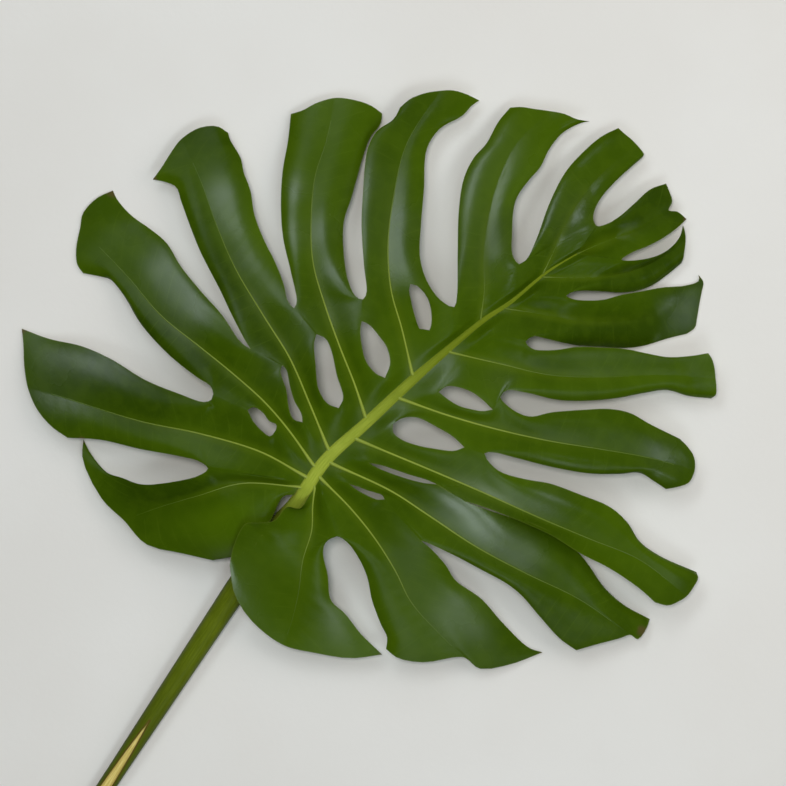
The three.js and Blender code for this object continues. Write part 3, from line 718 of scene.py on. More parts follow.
# %% All lobes of the leaf
def half_leaf(lobes, gaps, sinus, side):
    starts = [lobe["vein_start"] for lobe in lobes]
    between = [(a + b) / 2 for a, b in zip(starts, starts[1:])]
    roots = [sinus["root"], *between, MIDRIB_LENGTH]
    made = []
    for i, lobe in enumerate(lobes):
        corner = [slot_edge(np.array([roots[i + k]]), side)[0] for k in (0, 1)]
        if i == 0:
            basal = at_shares(smooth_line([corner[0], *sinus["edge"]]), rows / ALL_ROWS)
        else:
            basal = gap_side(gaps[i - 1], corner[0], "apical")
        apical = gap_side(gaps[i], corner[1], "basal")

        def base_point(side_index, across, lobe=lobe, ends=roots[i:i + 2]):
            stations = lobe["vein_start"] + (ends[side_index] - lobe["vein_start"]) * across
            return slot_edge(stations, side)

        free_from = [0 if i == 0 else JOINED_ROWS, JOINED_ROWS]
        made.append((*lobe_halves(lobe, base_point, [basal, apical], free_from), side))
    return made


def end_leaf():
    sides = [
        gap_side(gaps[-1], slot_edge(np.array([MIDRIB_LENGTH]), side)[0], "apical")
        for gaps, side in ((LEFT_GAPS, 1), (RIGHT_GAPS, -1))
    ]
    middle = (sides[0][0] + sides[1][0]) / 2

    def base_point(side_index, across):
        return middle + (sides[side_index][0] - middle) * across[:, None]

    return (*lobe_halves(END_LOBE, base_point, sides, [JOINED_ROWS] * 2), 1)


lobes = half_leaf(LEFT_LOBES, LEFT_GAPS, LEFT_SINUS, 1)
lobes += half_leaf(RIGHT_LOBES, RIGHT_GAPS, RIGHT_SINUS, -1)
lobes.append(end_leaf())
print("lobes:", len(lobes), "rows:", len(rows), "columns a side:", len(ACROSS))

# %% [markdown]
# Weld the grids into one sheet. Each point also keeps a few numbers for the materials: how far it
# is from its vein, how far along the lobe it lies, the beat of the fine side veins, and a tone. The
# tone differs lobe by lobe, and it also holds painted shade: each half of a lobe has its own tone,
# darker on the half that faces away from the light, lighter on the half that faces it, and the two
# run into each other at the vein and at the tip. The numbers become mesh attributes, which a shader
# can read on any point of the surface.

# %% One sheet from all lobes
STRIA_SPACING = 6.5
STRIA_LEAN = 0.62
WELD = 0.002
MEAN_TONE = 0.4
# Tones of the two halves of each lobe: partly each lobe's own tone, partly painted shade, darker on the
# half that faces away from the light.
LEFT_TONE_AND_SHADE = [
    (1, -0.1), (0.4, 0.05), (0, 0.45), (0, 0.55), (0.45, 0.45), (0.4, 0.45), (0.5, 0.5), (0.4, 0.4),
]
RIGHT_TONE_AND_SHADE = [
    (0.5, 0.5), (0.35, 0.35), (0.3, 0.4), (0.4, 0.5), (0.3, 0.3), (0.4, 0.4), (0, 0.25), (-0.1, -0.1),
]
END_TONE_AND_SHADE = (-0.1, 0.3)
HALF_TONE_AND_SHADE = [*LEFT_TONE_AND_SHADE, *RIGHT_TONE_AND_SHADE, END_TONE_AND_SHADE]
OWN_TONE_FROM, OWN_TONE_FULL = 0.2, 0.6
HALVES_APART, HALVES_MEET = 0.5, 0.65


def sheet_arrays(lobes):
    """Points, quads and per-point values of the blade's middle sheet, still unwelded."""
    columns = len(ACROSS)
    joined = 1 - smoothstep(rows, JOINED_ROWS, JOINED_ROWS + EDGE_FREE_ROWS)
    joined = joined[:, None] * ACROSS[None] ** 2
    points, values, quads, start = [], [], [], 0
    for number, (halves, along, side) in enumerate(lobes):
        for i, half in enumerate(halves):
            vein_mm = np.linalg.norm(half[:, :, :2] - half[:, :1, :2], axis=2)
            stria = (along[:, None] - STRIA_LEAN * vein_mm) / STRIA_SPACING
            share = np.repeat(along[:, None] / along[-1], columns, axis=1)
            own = smoothstep(share, OWN_TONE_FROM, OWN_TONE_FULL) * (1 - joined)
            split = smoothstep(ACROSS, 0, HALVES_APART)[None] * smoothstep(share, 1, HALVES_MEET)
            both = sum(HALF_TONE_AND_SHADE[number]) / 2
            tone_and_shade = both + (HALF_TONE_AND_SHADE[number][i] - both) * split
            lobe_tone_and_shade = MEAN_TONE + (tone_and_shade - MEAN_TONE) * own
            points.append(half.reshape(-1, 3))
            values.append(np.stack([vein_mm, stria, share, lobe_tone_and_shade], axis=2).reshape(-1, 4))
            grid = start + np.arange(len(rows) * columns).reshape(len(rows), columns)
            cells = np.stack([grid[:-1, :-1], grid[:-1, 1:], grid[1:, 1:], grid[1:, :-1]], axis=2)
            cells = cells.reshape(-1, 4)
            quads.append(cells if (i == 1) == (side > 0) else cells[:, ::-1])
            start += len(rows) * columns
    return np.vstack(points), np.vstack(values), np.vstack(quads)


def weld(points, values, quads):
    keys = np.round(points[:, :2] / WELD).astype(np.int64)
    keys = np.column_stack([keys, np.round(points[:, 2]).astype(np.int64)])
    _, first, inverse = np.unique(keys, axis=0, return_index=True, return_inverse=True)
    return points[first], values[first], inverse.ravel()[quads]


points, values, quads = weld(*sheet_arrays(lobes))
print("middle sheet:", len(points), "points,", len(quads), "quads")

# %% [markdown]
# One inner hole lies beside its slit and not in line with it, so no two lobes share it. The quads
# inside its outline are dropped, and the ring of points left round them moves out to the outline.
# A boolean would do the same, but it would lose the points' own values.

# %% The lone hole
def inside(points, loop):
    """True for points inside a closed outline, by counting the sides that they lie left of."""
    x, y = points[:, 0], points[:, 1]
    hits = np.zeros(len(points), int)
    for (x0, y0), (x1, y1) in zip(loop, np.roll(loop, -1, axis=0)):
        spans = (y0 > y) != (y1 > y)
        cross = x0 + (y - y0) * (x1 - x0) / (y1 - y0 if y1 != y0 else 1)
        hits += spans & (x < cross)
    return hits % 2 == 1


hole_loop = smooth_line([*LONE_HOLE[-1:], *LONE_HOLE, *LONE_HOLE[:2]])
hole_loop = hole_loop[SAMPLES_PER_SPAN:-2 * SAMPLES_PER_SPAN]
in_hole = inside(points, hole_loop)
quads = quads[~in_hole[quads].all(axis=1)]
for index in np.intersect1d(np.where(in_hole)[0], quads):
    offsets = hole_loop - points[index, :2]
    points[index, :2] = hole_loop[np.hypot(*offsets.T).argmin()]
print("hole:", int(in_hole.sum()), "points inside")

# %% [markdown]
# The free edge: every side that belongs to one quad only. The distance from each point to the
# nearest free edge drives the thin rim and its paint. A search tree finds it quickly.

# %% Distance to the free edge
def free_sides(quads):
    sides = np.vstack([quads[:, [i, (i + 1) % 4]] for i in range(4)])
    sides = sides[sides[:, 0] != sides[:, 1]]
    _, where, uses = np.unique(np.sort(sides, axis=1), axis=0, return_index=True, return_counts=True)
    return sides[where[uses == 1]]


used = np.unique(quads)
renumber = np.full(len(points), -1)
renumber[used] = np.arange(len(used))
points, values, quads = points[used], values[used], renumber[quads]
rim = free_sides(quads)
rim_points = np.unique(rim)
search = mathutils.kdtree.KDTree(len(rim_points))
for index in rim_points:
    search.insert((*points[index, :2], 0), int(index))
search.balance()
edge_mm = np.array([search.find((x, y, 0))[2] for x, y in points[:, :2]])
print("free edge:", len(rim), "sides; widest spot", round(float(edge_mm.max()), 1), "mm from it")

# %% [markdown]
# Life in the surface. A real blade isn't a smooth rule: it swells between side veins, dips along
# each vein and waves slowly. A few sines with fixed phases are enough, and they give the same
# result on every run.

# %% Swells, dips and slow waves
VALLEY_DEPTH, VALLEY_WIDTH, VALLEY_TIP_LOSS = 1.3, 11, 0.6
STRIA_SWELL = 0.06
SLOW_WAVES = [(0.55, 38, 0.4, 0.3), (0.4, 27, 2.1, 1.9), (0.22, 15, 1.2, 4.0)]


def settled_height(points, vein_mm, edge_mm, stria, share):
    """Heights with the swells, dips and waves added; places lying on the floor stay there."""
    x, y, z = points.T
    calm = smoothstep(vein_mm, 0, 6) * smoothstep(edge_mm, 0, 5) * smoothstep(share, 0.25, 0.5)
    depth = VALLEY_DEPTH * (1 - VALLEY_TIP_LOSS * smoothstep(share, 0.5, 1))
    dip = depth * np.exp(-vein_mm / VALLEY_WIDTH) * smoothstep(share, 0.02, 0.2)
    swell = STRIA_SWELL * np.cos(2 * math.pi * stria) * calm
    wave = sum(
        size * np.sin(x / span + phase_x) * np.sin(y / span + phase_y)
        for size, span, phase_x, phase_y in SLOW_WAVES
    )
    lifted = smoothstep(z, BLADE_THICKNESS / 2, 8)
    return z + lifted * (swell + wave * smoothstep(share, 0.1, 0.4) - dip)


before = points[:, 2].copy()
vein_mm, stria, share, lobe_tone_and_shade = values.T
points[:, 2] = settled_height(points, vein_mm, edge_mm, stria, share)
print("surface moved by up to", round(float(np.abs(points[:, 2] - before).max()), 2), "mm")

# %% [markdown]
# Thickness. The sheet gets an upper and a lower face and a wall round every free edge. Solidify
# could do it, but then the upper and the lower face couldn't carry different values for the
# paint. The edge thins to a soft rim, and below each vein a rib stands out of the lower face.

# %% Sheet to closed blade
RIM_THICKNESS, RIM_WIDTH = 0.45, 2.5
RIB_HEIGHT, RIB_WIDTH, RIB_TIP_LOSS = 0.8, 1.3, 0.8

thickness = BLADE_THICKNESS - (BLADE_THICKNESS - RIM_THICKNESS) * np.exp(-edge_mm / RIM_WIDTH)
count = len(points)
upper, lower = points.copy(), points.copy()
upper[:, 2] += thickness / 2
rib = RIB_HEIGHT * (1 - RIB_TIP_LOSS * share) * np.exp(-(vein_mm / RIB_WIDTH) ** 2)
lower[:, 2] = np.maximum(lower[:, 2] - thickness / 2 - rib, 0)
walls = np.column_stack([rim[:, 1], rim[:, 0], rim[:, 0] + count, rim[:, 1] + count])
blade_points = np.vstack([upper, lower])
blade_faces = np.vstack([quads, quads[:, ::-1] + count, walls])
print("blade:", len(blade_points), "points, rim of", len(rim), "edges")

# %% [markdown]
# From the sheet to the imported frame: a turn that lays the midrib along +Y, then the shift that
# puts the fine blade's box on the box of the solid blade. Two lists of round places, each with x,
# y and reach in the sheet, say where tips have dried and where the wax is thick enough to shine.
# They could be painted by hand on the mesh, but short lists are easier to move about.

# %% Place the blade in the frame
LEAF_TURN = math.radians(54.2)
SHARP_FROM = math.radians(50)
WORN_TIPS = [
    (-141, 84, 3.2), (-95, 153.75, 4), (-74.5, 159, 2.8), (145.5, 188.25, 2.2), (200.75, 111.25, 2.4),
    (172, -68.5, 3.4), (194.25, 139, 2), (-109.75, 28, 2.2), (122, -79.5, 2), (41, -80, 1.8),
]
WAXY_PLACES = [
    (-107.5, 71.5, 21), (-124, 52, 15), (-69.5, 112, 10), (-62, 101, 10), (-54, 90, 10), (-38, 150, 10),
    (-33, 136, 10), (-26, 117.5, 10), (-19, 97, 10), (0, 83, 11), (-12, 64, 10), (15, 133, 9),
    (18, 113, 9), (22.5, 89, 11), (-4.5, 130.5, 10), (-3.5, 153, 8), (38, 153, 13), (40, 130.5, 12),
    (51, 115.5, 12), (54, 135.5, 9), (90, 148, 14), (100, 168, 14), (94, 120.5, 14), (102.5, 135.5, 10),
    (137.5, 144, 13), (131, 132, 10), (47.5, 35.5, 9), (70, 60.5, 10),
    (100, 58, 8), (-32.5, -39.5, 14), (17.5, -59.5, 11), (82, -55, 11), (90, -63, 10),
    (90, -8, 12), (100, -15.5, 12), (112.5, -26, 10), (77.5, -2, 8), (125, 2, 10), (195, 95.5, 12),
    (184, 20.5, 10),
]


def turned(points):
    c, s = math.cos(LEAF_TURN), math.sin(LEAF_TURN)
    out = np.array(points, float)
    out[:, 0], out[:, 1] = c * points[:, 0] - s * points[:, 1], s * points[:, 0] + c * points[:, 1]
    return out


low, high = (np.array(corner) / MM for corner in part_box("leaf_blade"))
plain = turned(blade_points)
shift = (low + high) / 2 - (plain.min(0) + plain.max(0)) / 2
shift[2] = 0


def to_frame(points):
    """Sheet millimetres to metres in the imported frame."""
    return (turned(np.asarray(points, float)) + shift) * MM


def mesh_object(name, points, faces, values):
    """A smooth mesh object with named per-point values, its place in its vertices."""
    mesh = bpy.data.meshes.new(name)
    mesh.from_pydata(points.tolist(), [], [list(dict.fromkeys(face)) for face in faces.tolist()])
    for key, data in values.items():
        attribute = mesh.attributes.new(key, "FLOAT", "POINT")
        attribute.data.foreach_set("value", np.asarray(data, np.float32))
    mesh.validate()
    mesh.polygons.foreach_set("use_smooth", np.ones(len(mesh.polygons), bool))
    mesh.set_sharp_from_angle(angle=SHARP_FROM)
    made = bpy.data.objects.new(name, mesh)
    bpy.context.scene.collection.objects.link(made)
    return made


def around(places):
    """How strongly each point of the sheet lies within one of the round places."""
    total = np.zeros(len(points))
    for x, y, reach in places:
        total += np.exp(-((points[:, :2] - [x, y]) ** 2).sum(axis=1) / reach ** 2)
    return np.minimum(total, 1)


blade = mesh_object("blade_skin", to_frame(blade_points), blade_faces, {
    "vein_mm": np.tile(vein_mm, 2),
    "edge_mm": np.tile(edge_mm, 2),
    "stria": np.tile(stria, 2),
    "along": np.tile(share, 2),
    "lobe_tone_and_shade": np.tile(lobe_tone_and_shade, 2),
    "wax": np.tile(around(WAXY_PLACES), 2),
    "worn": np.tile(around(WORN_TIPS), 2),
    "under": np.repeat([0, 1], count),
})
box_error = np.round(plain.max(0) - plain.min(0) - (high - low), 2)
print("blade_skin:", len(blade.data.polygons), "faces; box off by", box_error, "mm")

# %% [markdown]
# Paint for the blade. A monstera leaf is deep green and waxy, mottled on a large scale, a touch
# lighter along its veins and crossed by fine side veins. The attributes made above say where each
# of these lies, so the pattern follows every lobe. An image could be painted by hand instead, but
# nodes stay sharp at any distance.

# %% Shader helpers
def srgb(red, green, blue):
    """A colour as seen on a screen, 0 to 255, as the linear colour that shaders use."""
    shares = [level / 255 for level in (red, green, blue)]
    linear = [c / 12.92 if c <= 0.04045 else ((c + 0.055) / 1.055) ** 2.4 for c in shares]
    return (*linear, 1)


def add(tree, kind, inputs=None, **settings):
    """A node with its settings, and with its inputs given as values or as sockets to link."""
    node = tree.nodes.new(kind)
    for key, value in settings.items():
        setattr(node, key, value)
    for key, value in (inputs or {}).items():
        if isinstance(value, bpy.types.NodeSocket):
            tree.links.new(value, node.inputs[key])
        else:
            node.inputs[key].default_value = value
    return node


def attribute(tree, name):
    return add(tree, "ShaderNodeAttribute", attribute_name=name).outputs["Fac"]


def maths(tree, operation, a, b=0.0, c=0.0):
    return add(tree, "ShaderNodeMath", {0: a, 1: b, 2: c}, operation=operation).outputs[0]


def fade(tree, value, low, high):
    """0 at low, 1 at high, smooth between; high may be below low."""
    inputs = {"Value": value, "From Min": low, "From Max": high}
    return add(tree, "ShaderNodeMapRange", inputs, interpolation_type="SMOOTHSTEP").outputs[0]


def blend_colour(tree, share, a, b):
    node = add(tree, "ShaderNodeMix", {0: share, 6: a, 7: b}, data_type="RGBA")
    return node.outputs[2]


def noise(tree, scale, detail=3.0):
    place = add(tree, "ShaderNodeTexCoord").outputs["Object"]
    inputs = {"Vector": place, "Scale": scale, "Detail": detail}
    return add(tree, "ShaderNodeTexNoise", inputs).outputs["Fac"]


def new_paint(name):
    """A material with an empty tree, its shader and the tree."""
    paint = bpy.data.materials.new(name)
    paint.use_nodes = True
    tree = paint.node_tree
    tree.nodes.clear()
    shader = add(tree, "ShaderNodeBsdfPrincipled")
    add(tree, "ShaderNodeOutputMaterial", {"Surface": shader.outputs[0]})
    return paint, tree, shader


def connect(tree, shader, **sockets):
    for key, value in sockets.items():
        tree.links.new(value, shader.inputs[key.replace("_", " ")])


# %% Waxy leaf paint
def waxy_leaf():
    paint, tree, shader = new_paint("waxy_leaf")
    vein, edge = attribute(tree, "vein_mm"), attribute(tree, "edge_mm")
    under, tone_and_shade = attribute(tree, "under"), attribute(tree, "lobe_tone_and_shade")
    along = attribute(tree, "along")
    clouds = fade(tree, noise(tree, 16), 0.3, 0.7)
    # The tone carries painted shade as well as the lobe's own tone: it darkens the half of a lobe that
    # faces away from the light.
    lean = maths(tree, "MULTIPLY_ADD", clouds, 0.4, maths(tree, "SUBTRACT", tone_and_shade, 0.2))
    colour = blend_colour(tree, lean, srgb(46, 67, 2), srgb(74, 101, 5))
    mottle = fade(tree, noise(tree, 140, 5), 0.42, 0.62)
    colour = blend_colour(tree, maths(tree, "MULTIPLY", mottle, 0.12), colour, srgb(84, 108, 14))
    beat = maths(tree, "PINGPONG", attribute(tree, "stria"), 0.5)
    line = maths(tree, "MULTIPLY", fade(tree, beat, 0.43, 0.5), fade(tree, vein, 1.0, 5.0))
    broken = maths(tree, "MULTIPLY", line, fade(tree, noise(tree, 45), 0.4, 0.65))
    colour = blend_colour(tree, maths(tree, "MULTIPLY", broken, 0.16), colour, srgb(96, 120, 30))
    near_root = maths(tree, "MULTIPLY", fade(tree, along, 0.9, 0.2), 0.3)
    glow = maths(tree, "MULTIPLY", fade(tree, vein, 5.0, 0.6), near_root)
    colour = blend_colour(tree, glow, colour, srgb(88, 108, 14))
    rim = maths(tree, "MULTIPLY", fade(tree, edge, 0.6, 0.05), 0.2)
    colour = blend_colour(tree, rim, colour, srgb(126, 138, 60))
    dry = maths(tree, "MULTIPLY", fade(tree, attribute(tree, "worn"), 0.25, 0.8), 0.85)
    colour = blend_colour(tree, dry, colour, srgb(84, 72, 40))
    pale = blend_colour(tree, clouds, srgb(96, 118, 50), srgb(112, 132, 60))
    rib = maths(tree, "MULTIPLY", fade(tree, vein, 2.0, 0.4), fade(tree, along, 1.0, 0.5))
    pale = blend_colour(tree, rib, pale, srgb(152, 164, 92))
    colour = blend_colour(tree, under, colour, pale)
    film = fade(tree, noise(tree, 22, 4), 0.3, 0.75)
    rough = maths(tree, "MULTIPLY_ADD", film, 0.1, 0.23)
    rough = maths(tree, "MULTIPLY_ADD", under, 0.2, rough)
    grain = maths(tree, "MULTIPLY_ADD", beat, 0.5, noise(tree, 700, 2))
    bump = add(tree, "ShaderNodeBump", {"Height": grain, "Strength": 0.05, "Distance": 0.0006})
    patchy = maths(tree, "MULTIPLY_ADD", noise(tree, 30, 3), 0.12, 0.02)
    gloss = maths(tree, "MULTIPLY_ADD", attribute(tree, "wax"), 0.6, patchy)
    connect(tree, shader, Base_Color=colour, Roughness=rough)
    connect(tree, shader, Normal=bump.outputs[0], Specular_IOR_Level=gloss)
    return paint


blade.data.materials.append(waxy_leaf())
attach(blade, "root")
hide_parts("leaf_blade")

# %% [markdown]
# Lateral veins. One pale vein runs from inside the midrib into every lobe, thick at its root and
# thin near the tip, and stands a little proud of the upper face. They all follow a path and differ
# only in length and stoutness, so Geometry Nodes sweep one round profile along each path. The path
# is a curve object with one line for each lobe. A bevel on the curve could make tubes too, but the
# nodes also taper them and note how far along each point lies, for the paint.

# %% Paths of the veins
VEIN_END = 0.93
VEIN_LIFT = 0.15
FULL_VEIN_MIDRIB, LEAST_VEIN, BASAL_VEIN = 3.2, 0.5, 0.85
ROOT_DIP = 1.2

vein_starts = [lobe["vein_start"] for lobe in (*LEFT_LOBES, *RIGHT_LOBES)]
vein_starts = np.array([*vein_starts, MIDRIB_LENGTH])


def vein_paths(lobes):
    """The middle line of each lobe, begun inside the midrib so that its end doesn't show."""
    paths = []
    for (halves, along, _), inside_rib in zip(lobes, spine_at(vein_starts)[0]):
        line, share = halves[0][:, 0, :].copy(), along / along[-1]
        line[:, 2] = settled_height(line, 0 * share, 0 * share, share, share) + VEIN_LIFT
        root = [*inside_rib, line[0, 2] - ROOT_DIP]
        paths.append(to_frame(np.vstack([root, line[share < VEIN_END]])))
    return paths


def vein_sizes():
    """Share of full thickness: slender from a slender stretch of midrib, and in the basal lobes."""
    widths = along_pairs(MIDRIB_HALF_WIDTHS, vein_starts)
    sizes = np.clip(widths / FULL_VEIN_MIDRIB, LEAST_VEIN, 1)
    sizes[[0, len(LEFT_LOBES)]] *= BASAL_VEIN
    return sizes


def path_object(name, paths, sizes):
    curve = bpy.data.curves.new(name, "CURVE")
    curve.dimensions = "3D"
    for path, size in zip(paths, sizes):
        spline = curve.splines.new("POLY")
        spline.points.add(len(path) - 1)
        spline.points.foreach_set("co", np.column_stack([path, np.ones(len(path))]).ravel())
        spline.points.foreach_set("radius", np.full(len(path), size))
    made = bpy.data.objects.new(name, curve)
    bpy.context.scene.collection.objects.link(made)
    return made


vein_curves = path_object("lateral_veins", vein_paths(lobes), vein_sizes())
print("vein paths:", len(vein_curves.data.splines))

# %% [markdown]
# The node tree: each line is resampled, gets a radius that tapers from root to tip, and is swept.
# Its sizes are inputs of the tree, so one number changes every vein.

# %% Sweep veins with Geometry Nodes
ROOT_RADIUS, TIP_RADIUS = 0.58 * MM, 0.28 * MM
FLARE, FLARE_REACH = 0.45 * MM, 0.12
VEIN_STEP, VEIN_SIDES = 1.5 * MM, 12
SLENDER_GREEN = 1.3


def vein_paint():
    paint, tree, shader = new_paint("pale_vein")
    greener = fade(tree, attribute(tree, "reach"), 0.1, 0.95)
    colour = blend_colour(tree, greener, srgb(146, 162, 58), srgb(70, 94, 8))
    streak = fade(tree, noise(tree, 60), 0.35, 0.7)
    colour = blend_colour(tree, maths(tree, "MULTIPLY", streak, 0.25), colour, srgb(112, 130, 36))
    rough = maths(tree, "MULTIPLY_ADD", streak, 0.1, 0.36)
    connect(tree, shader, Base_Color=colour, Roughness=rough)
    return paint


def sweep_tree():
    tree = bpy.data.node_groups.new("tapered_sweep", "GeometryNodeTree")
    face = tree.interface
    face.new_socket("Geometry", in_out="INPUT", socket_type="NodeSocketGeometry")
    for name in ("Root Radius", "Tip Radius", "Flare", "Flare Reach", "Step"):
        face.new_socket(name, in_out="INPUT", socket_type="NodeSocketFloat")
    face.new_socket("Sides", in_out="INPUT", socket_type="NodeSocketInt")
    face.new_socket("Paint", in_out="INPUT", socket_type="NodeSocketMaterial")
    face.new_socket("Geometry", in_out="OUTPUT", socket_type="NodeSocketGeometry")
    given = add(tree, "NodeGroupInput").outputs
    inputs = {"Curve": given["Geometry"], "Length": given["Step"]}
    even = add(tree, "GeometryNodeResampleCurve", inputs, mode="LENGTH").outputs[0]
    reach = add(tree, "GeometryNodeSplineParameter").outputs["Factor"]
    ends = {0: reach, 2: given["Root Radius"], 3: given["Tip Radius"]}
    taper = add(tree, "ShaderNodeMix", ends).outputs[0]
    foot = {"Value": reach, "From Max": given["Flare Reach"], "To Min": given["Flare"], "To Max": 0.0}
    flare = add(tree, "ShaderNodeMapRange", foot, interpolation_type="SMOOTHSTEP").outputs[0]
    full = add(tree, "ShaderNodeMath", {0: taper, 1: flare}, operation="ADD").outputs[0]
    size = add(tree, "GeometryNodeInputRadius").outputs[0]
    radius = add(tree, "ShaderNodeMath", {0: full, 1: size}, operation="MULTIPLY").outputs[0]
    slender = add(tree, "ShaderNodeMath", {0: 1.0, 1: size}, operation="SUBTRACT").outputs[0]
    late = {0: slender, 1: SLENDER_GREEN, 2: reach}
    green = add(tree, "ShaderNodeMath", late, operation="MULTIPLY_ADD").outputs[0]
    stored = {"Geometry": even, "Name": "reach", "Value": green}
    kind = {"data_type": "FLOAT", "domain": "POINT"}
    marked = add(tree, "GeometryNodeStoreNamedAttribute", stored, **kind).outputs[0]
    ring = {"Resolution": given["Sides"], "Radius": 1.0}
    profile = add(tree, "GeometryNodeCurvePrimitiveCircle", ring)
    sweep = {"Curve": marked, "Profile Curve": profile.outputs[0], "Scale": radius, "Fill Caps": True}
    swept = add(tree, "GeometryNodeCurveToMesh", sweep)
    smooth = add(tree, "GeometryNodeSetShadeSmooth", {"Geometry": swept.outputs[0]}).outputs[0]
    real = add(tree, "GeometryNodeRealizeInstances", {"Geometry": smooth}).outputs[0]
    coat = {"Geometry": real, "Material": given["Paint"]}
    painted = add(tree, "GeometryNodeSetMaterial", coat).outputs[0]
    add(tree, "NodeGroupOutput", {"Geometry": painted})
    return tree


def grown(source, tree, sizes):
    """The tree's result on an object, as a plain mesh object that takes its name."""
    modifier = source.modifiers.new("grow", "NODES")
    modifier.node_group = tree
    items = tree.interface.items_tree
    sockets = {item.name: item.identifier for item in items if item.in_out == "INPUT"}
    for key, value in sizes.items():
        modifier[sockets[key]] = value
    evaluated = source.evaluated_get(bpy.context.evaluated_depsgraph_get())
    mesh = bpy.data.meshes.new_from_object(evaluated)
    name = source.name
    source.modifiers.clear()
    bpy.data.objects.remove(source)
    made = bpy.data.objects.new(name, mesh)
    bpy.context.scene.collection.objects.link(made)
    return made


veins = grown(vein_curves, sweep_tree(), {
    "Root Radius": ROOT_RADIUS, "Tip Radius": TIP_RADIUS, "Flare": FLARE, "Flare Reach": FLARE_REACH,
    "Step": VEIN_STEP, "Sides": VEIN_SIDES, "Paint": vein_paint(),
})
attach(veins, "root")
print("lateral_veins:", len(veins.data.polygons), "faces")

# %% [markdown]
# Stalk and midrib. They are one rod: round on the stalk, lower and narrower inside the blade, and
# open near the cut end, where the old leaf sheath leaves a pale groove with thin brown lips. A
# curve with a bevel couldn't change its section like this, so the rod is lofted ring by ring.

# %% Sections of the rod
PETIOLE_LENGTH = 203
PETIOLE_RADII = [[0, 5.9], [60, 5.9], [165, 4.5], [PETIOLE_LENGTH, 4.3]]
DESCENT_START, DESCENT_LENGTH = 6, 86
MIDRIB_FLATNESS, MIDRIB_SINK = 0.8, 0.15
GROOVE_LENGTH, GROOVE_DEPTH = 70, 3.2
GROOVE_HALF_ANGLE = math.radians(46)
ROD_SIDES, ROD_RINGS = 64, 360
GROOVE_FULL, GROOVE_LEAST = 0.35, 1e-3
LEAST_OPENING, FAR_FROM_LIP = 0.02, 99


def rod_rings():
    stations = np.linspace(-PETIOLE_LENGTH, MIDRIB_LENGTH, ROD_RINGS + 1)
    inner = np.maximum(stations, 0)
    width = along_pairs(MIDRIB_HALF_WIDTHS, inner)
    radius = along_pairs(PETIOLE_RADII, np.maximum(-stations, 0))
    swell = smoothstep(-stations, 0, PETIOLE_SWELL)
    point, left = spine_at(stations)
    blade_height = arch_height(spine_at(inner)[0])
    descent = np.clip((DESCENT_START - stations) / DESCENT_LENGTH, 0, 1)
    midrib_centre = blade_height - MIDRIB_SINK * width
    centre = radius + (midrib_centre - radius) * (1 - descent) ** 2
    half_width = width + (radius - width) * swell
    half_height = MIDRIB_FLATNESS * width + (radius - MIDRIB_FLATNESS * width) * swell
    angle = np.linspace(-math.pi, math.pi, ROD_SIDES, endpoint=False)
    opening = smoothstep(-stations, PETIOLE_LENGTH - GROOVE_LENGTH, PETIOLE_LENGTH) ** 0.5
    half_angle = np.maximum(GROOVE_HALF_ANGLE * opening, GROOVE_LEAST)
    groove = smoothstep(np.abs(angle)[None] / half_angle[:, None], 1, GROOVE_FULL)
    groove = groove * opening[:, None]
    across = half_width[:, None] * np.sin(angle)[None]
    height = centre[:, None] + half_height[:, None] * np.cos(angle)[None] - GROOVE_DEPTH * groove
    plan = point[:, None, :] + left[:, None, :] * across[..., None]
    return np.dstack([plan, np.maximum(height, 0)]), stations, angle, groove, half_angle


rings, stations, angle, groove, half_angle = rod_rings()
print("rod:", rings.shape[0], "rings of", rings.shape[1], "points")

# %% Loft the rod
def loft(rings):
    """Quads between rings, and a closing point and fan at each end."""
    count, sides = rings.shape[:2]
    index = np.arange(count * sides).reshape(count, sides)
    beside = np.roll(index, -1, axis=1)
    walls = np.stack([index[:-1], beside[:-1], beside[1:], index[1:]], axis=2).reshape(-1, 4)
    hearts = rings[[0, -1]].mean(axis=1)
    points = np.vstack([rings.reshape(-1, 3), hearts])
    start, end = count * sides, count * sides + 1
    first = np.column_stack([beside[0], index[0], np.full((sides, 2), start)])
    last = np.column_stack([index[-1], beside[-1], np.full((sides, 2), end)])
    return points, np.vstack([walls, first, last])


rod_points, rod_faces = loft(rings)
ends = np.array([stations[0], stations[-1]])
radii = along_pairs(PETIOLE_RADII, np.maximum(-stations, 0))
lip = np.abs(np.abs(angle)[None] - half_angle[:, None]) * radii[:, None]
lip = np.where(half_angle[:, None] > LEAST_OPENING, lip, FAR_FROM_LIP)
stalk = mesh_object("stalk_skin", to_frame(rod_points), rod_faces, {
    "station": np.r_[np.repeat(stations, len(angle)), ends],
    "round": np.r_[np.tile(np.abs(angle), len(stations)), 0, 0],
    "groove": np.r_[groove.ravel(), 0, 0],
    "lip_mm": np.r_[lip.ravel(), FAR_FROM_LIP, FAR_FROM_LIP],
    "cut": np.r_[np.zeros(len(stations) * len(angle)), 1, 0],
})
print("stalk_skin:", len(stalk.data.polygons), "faces")
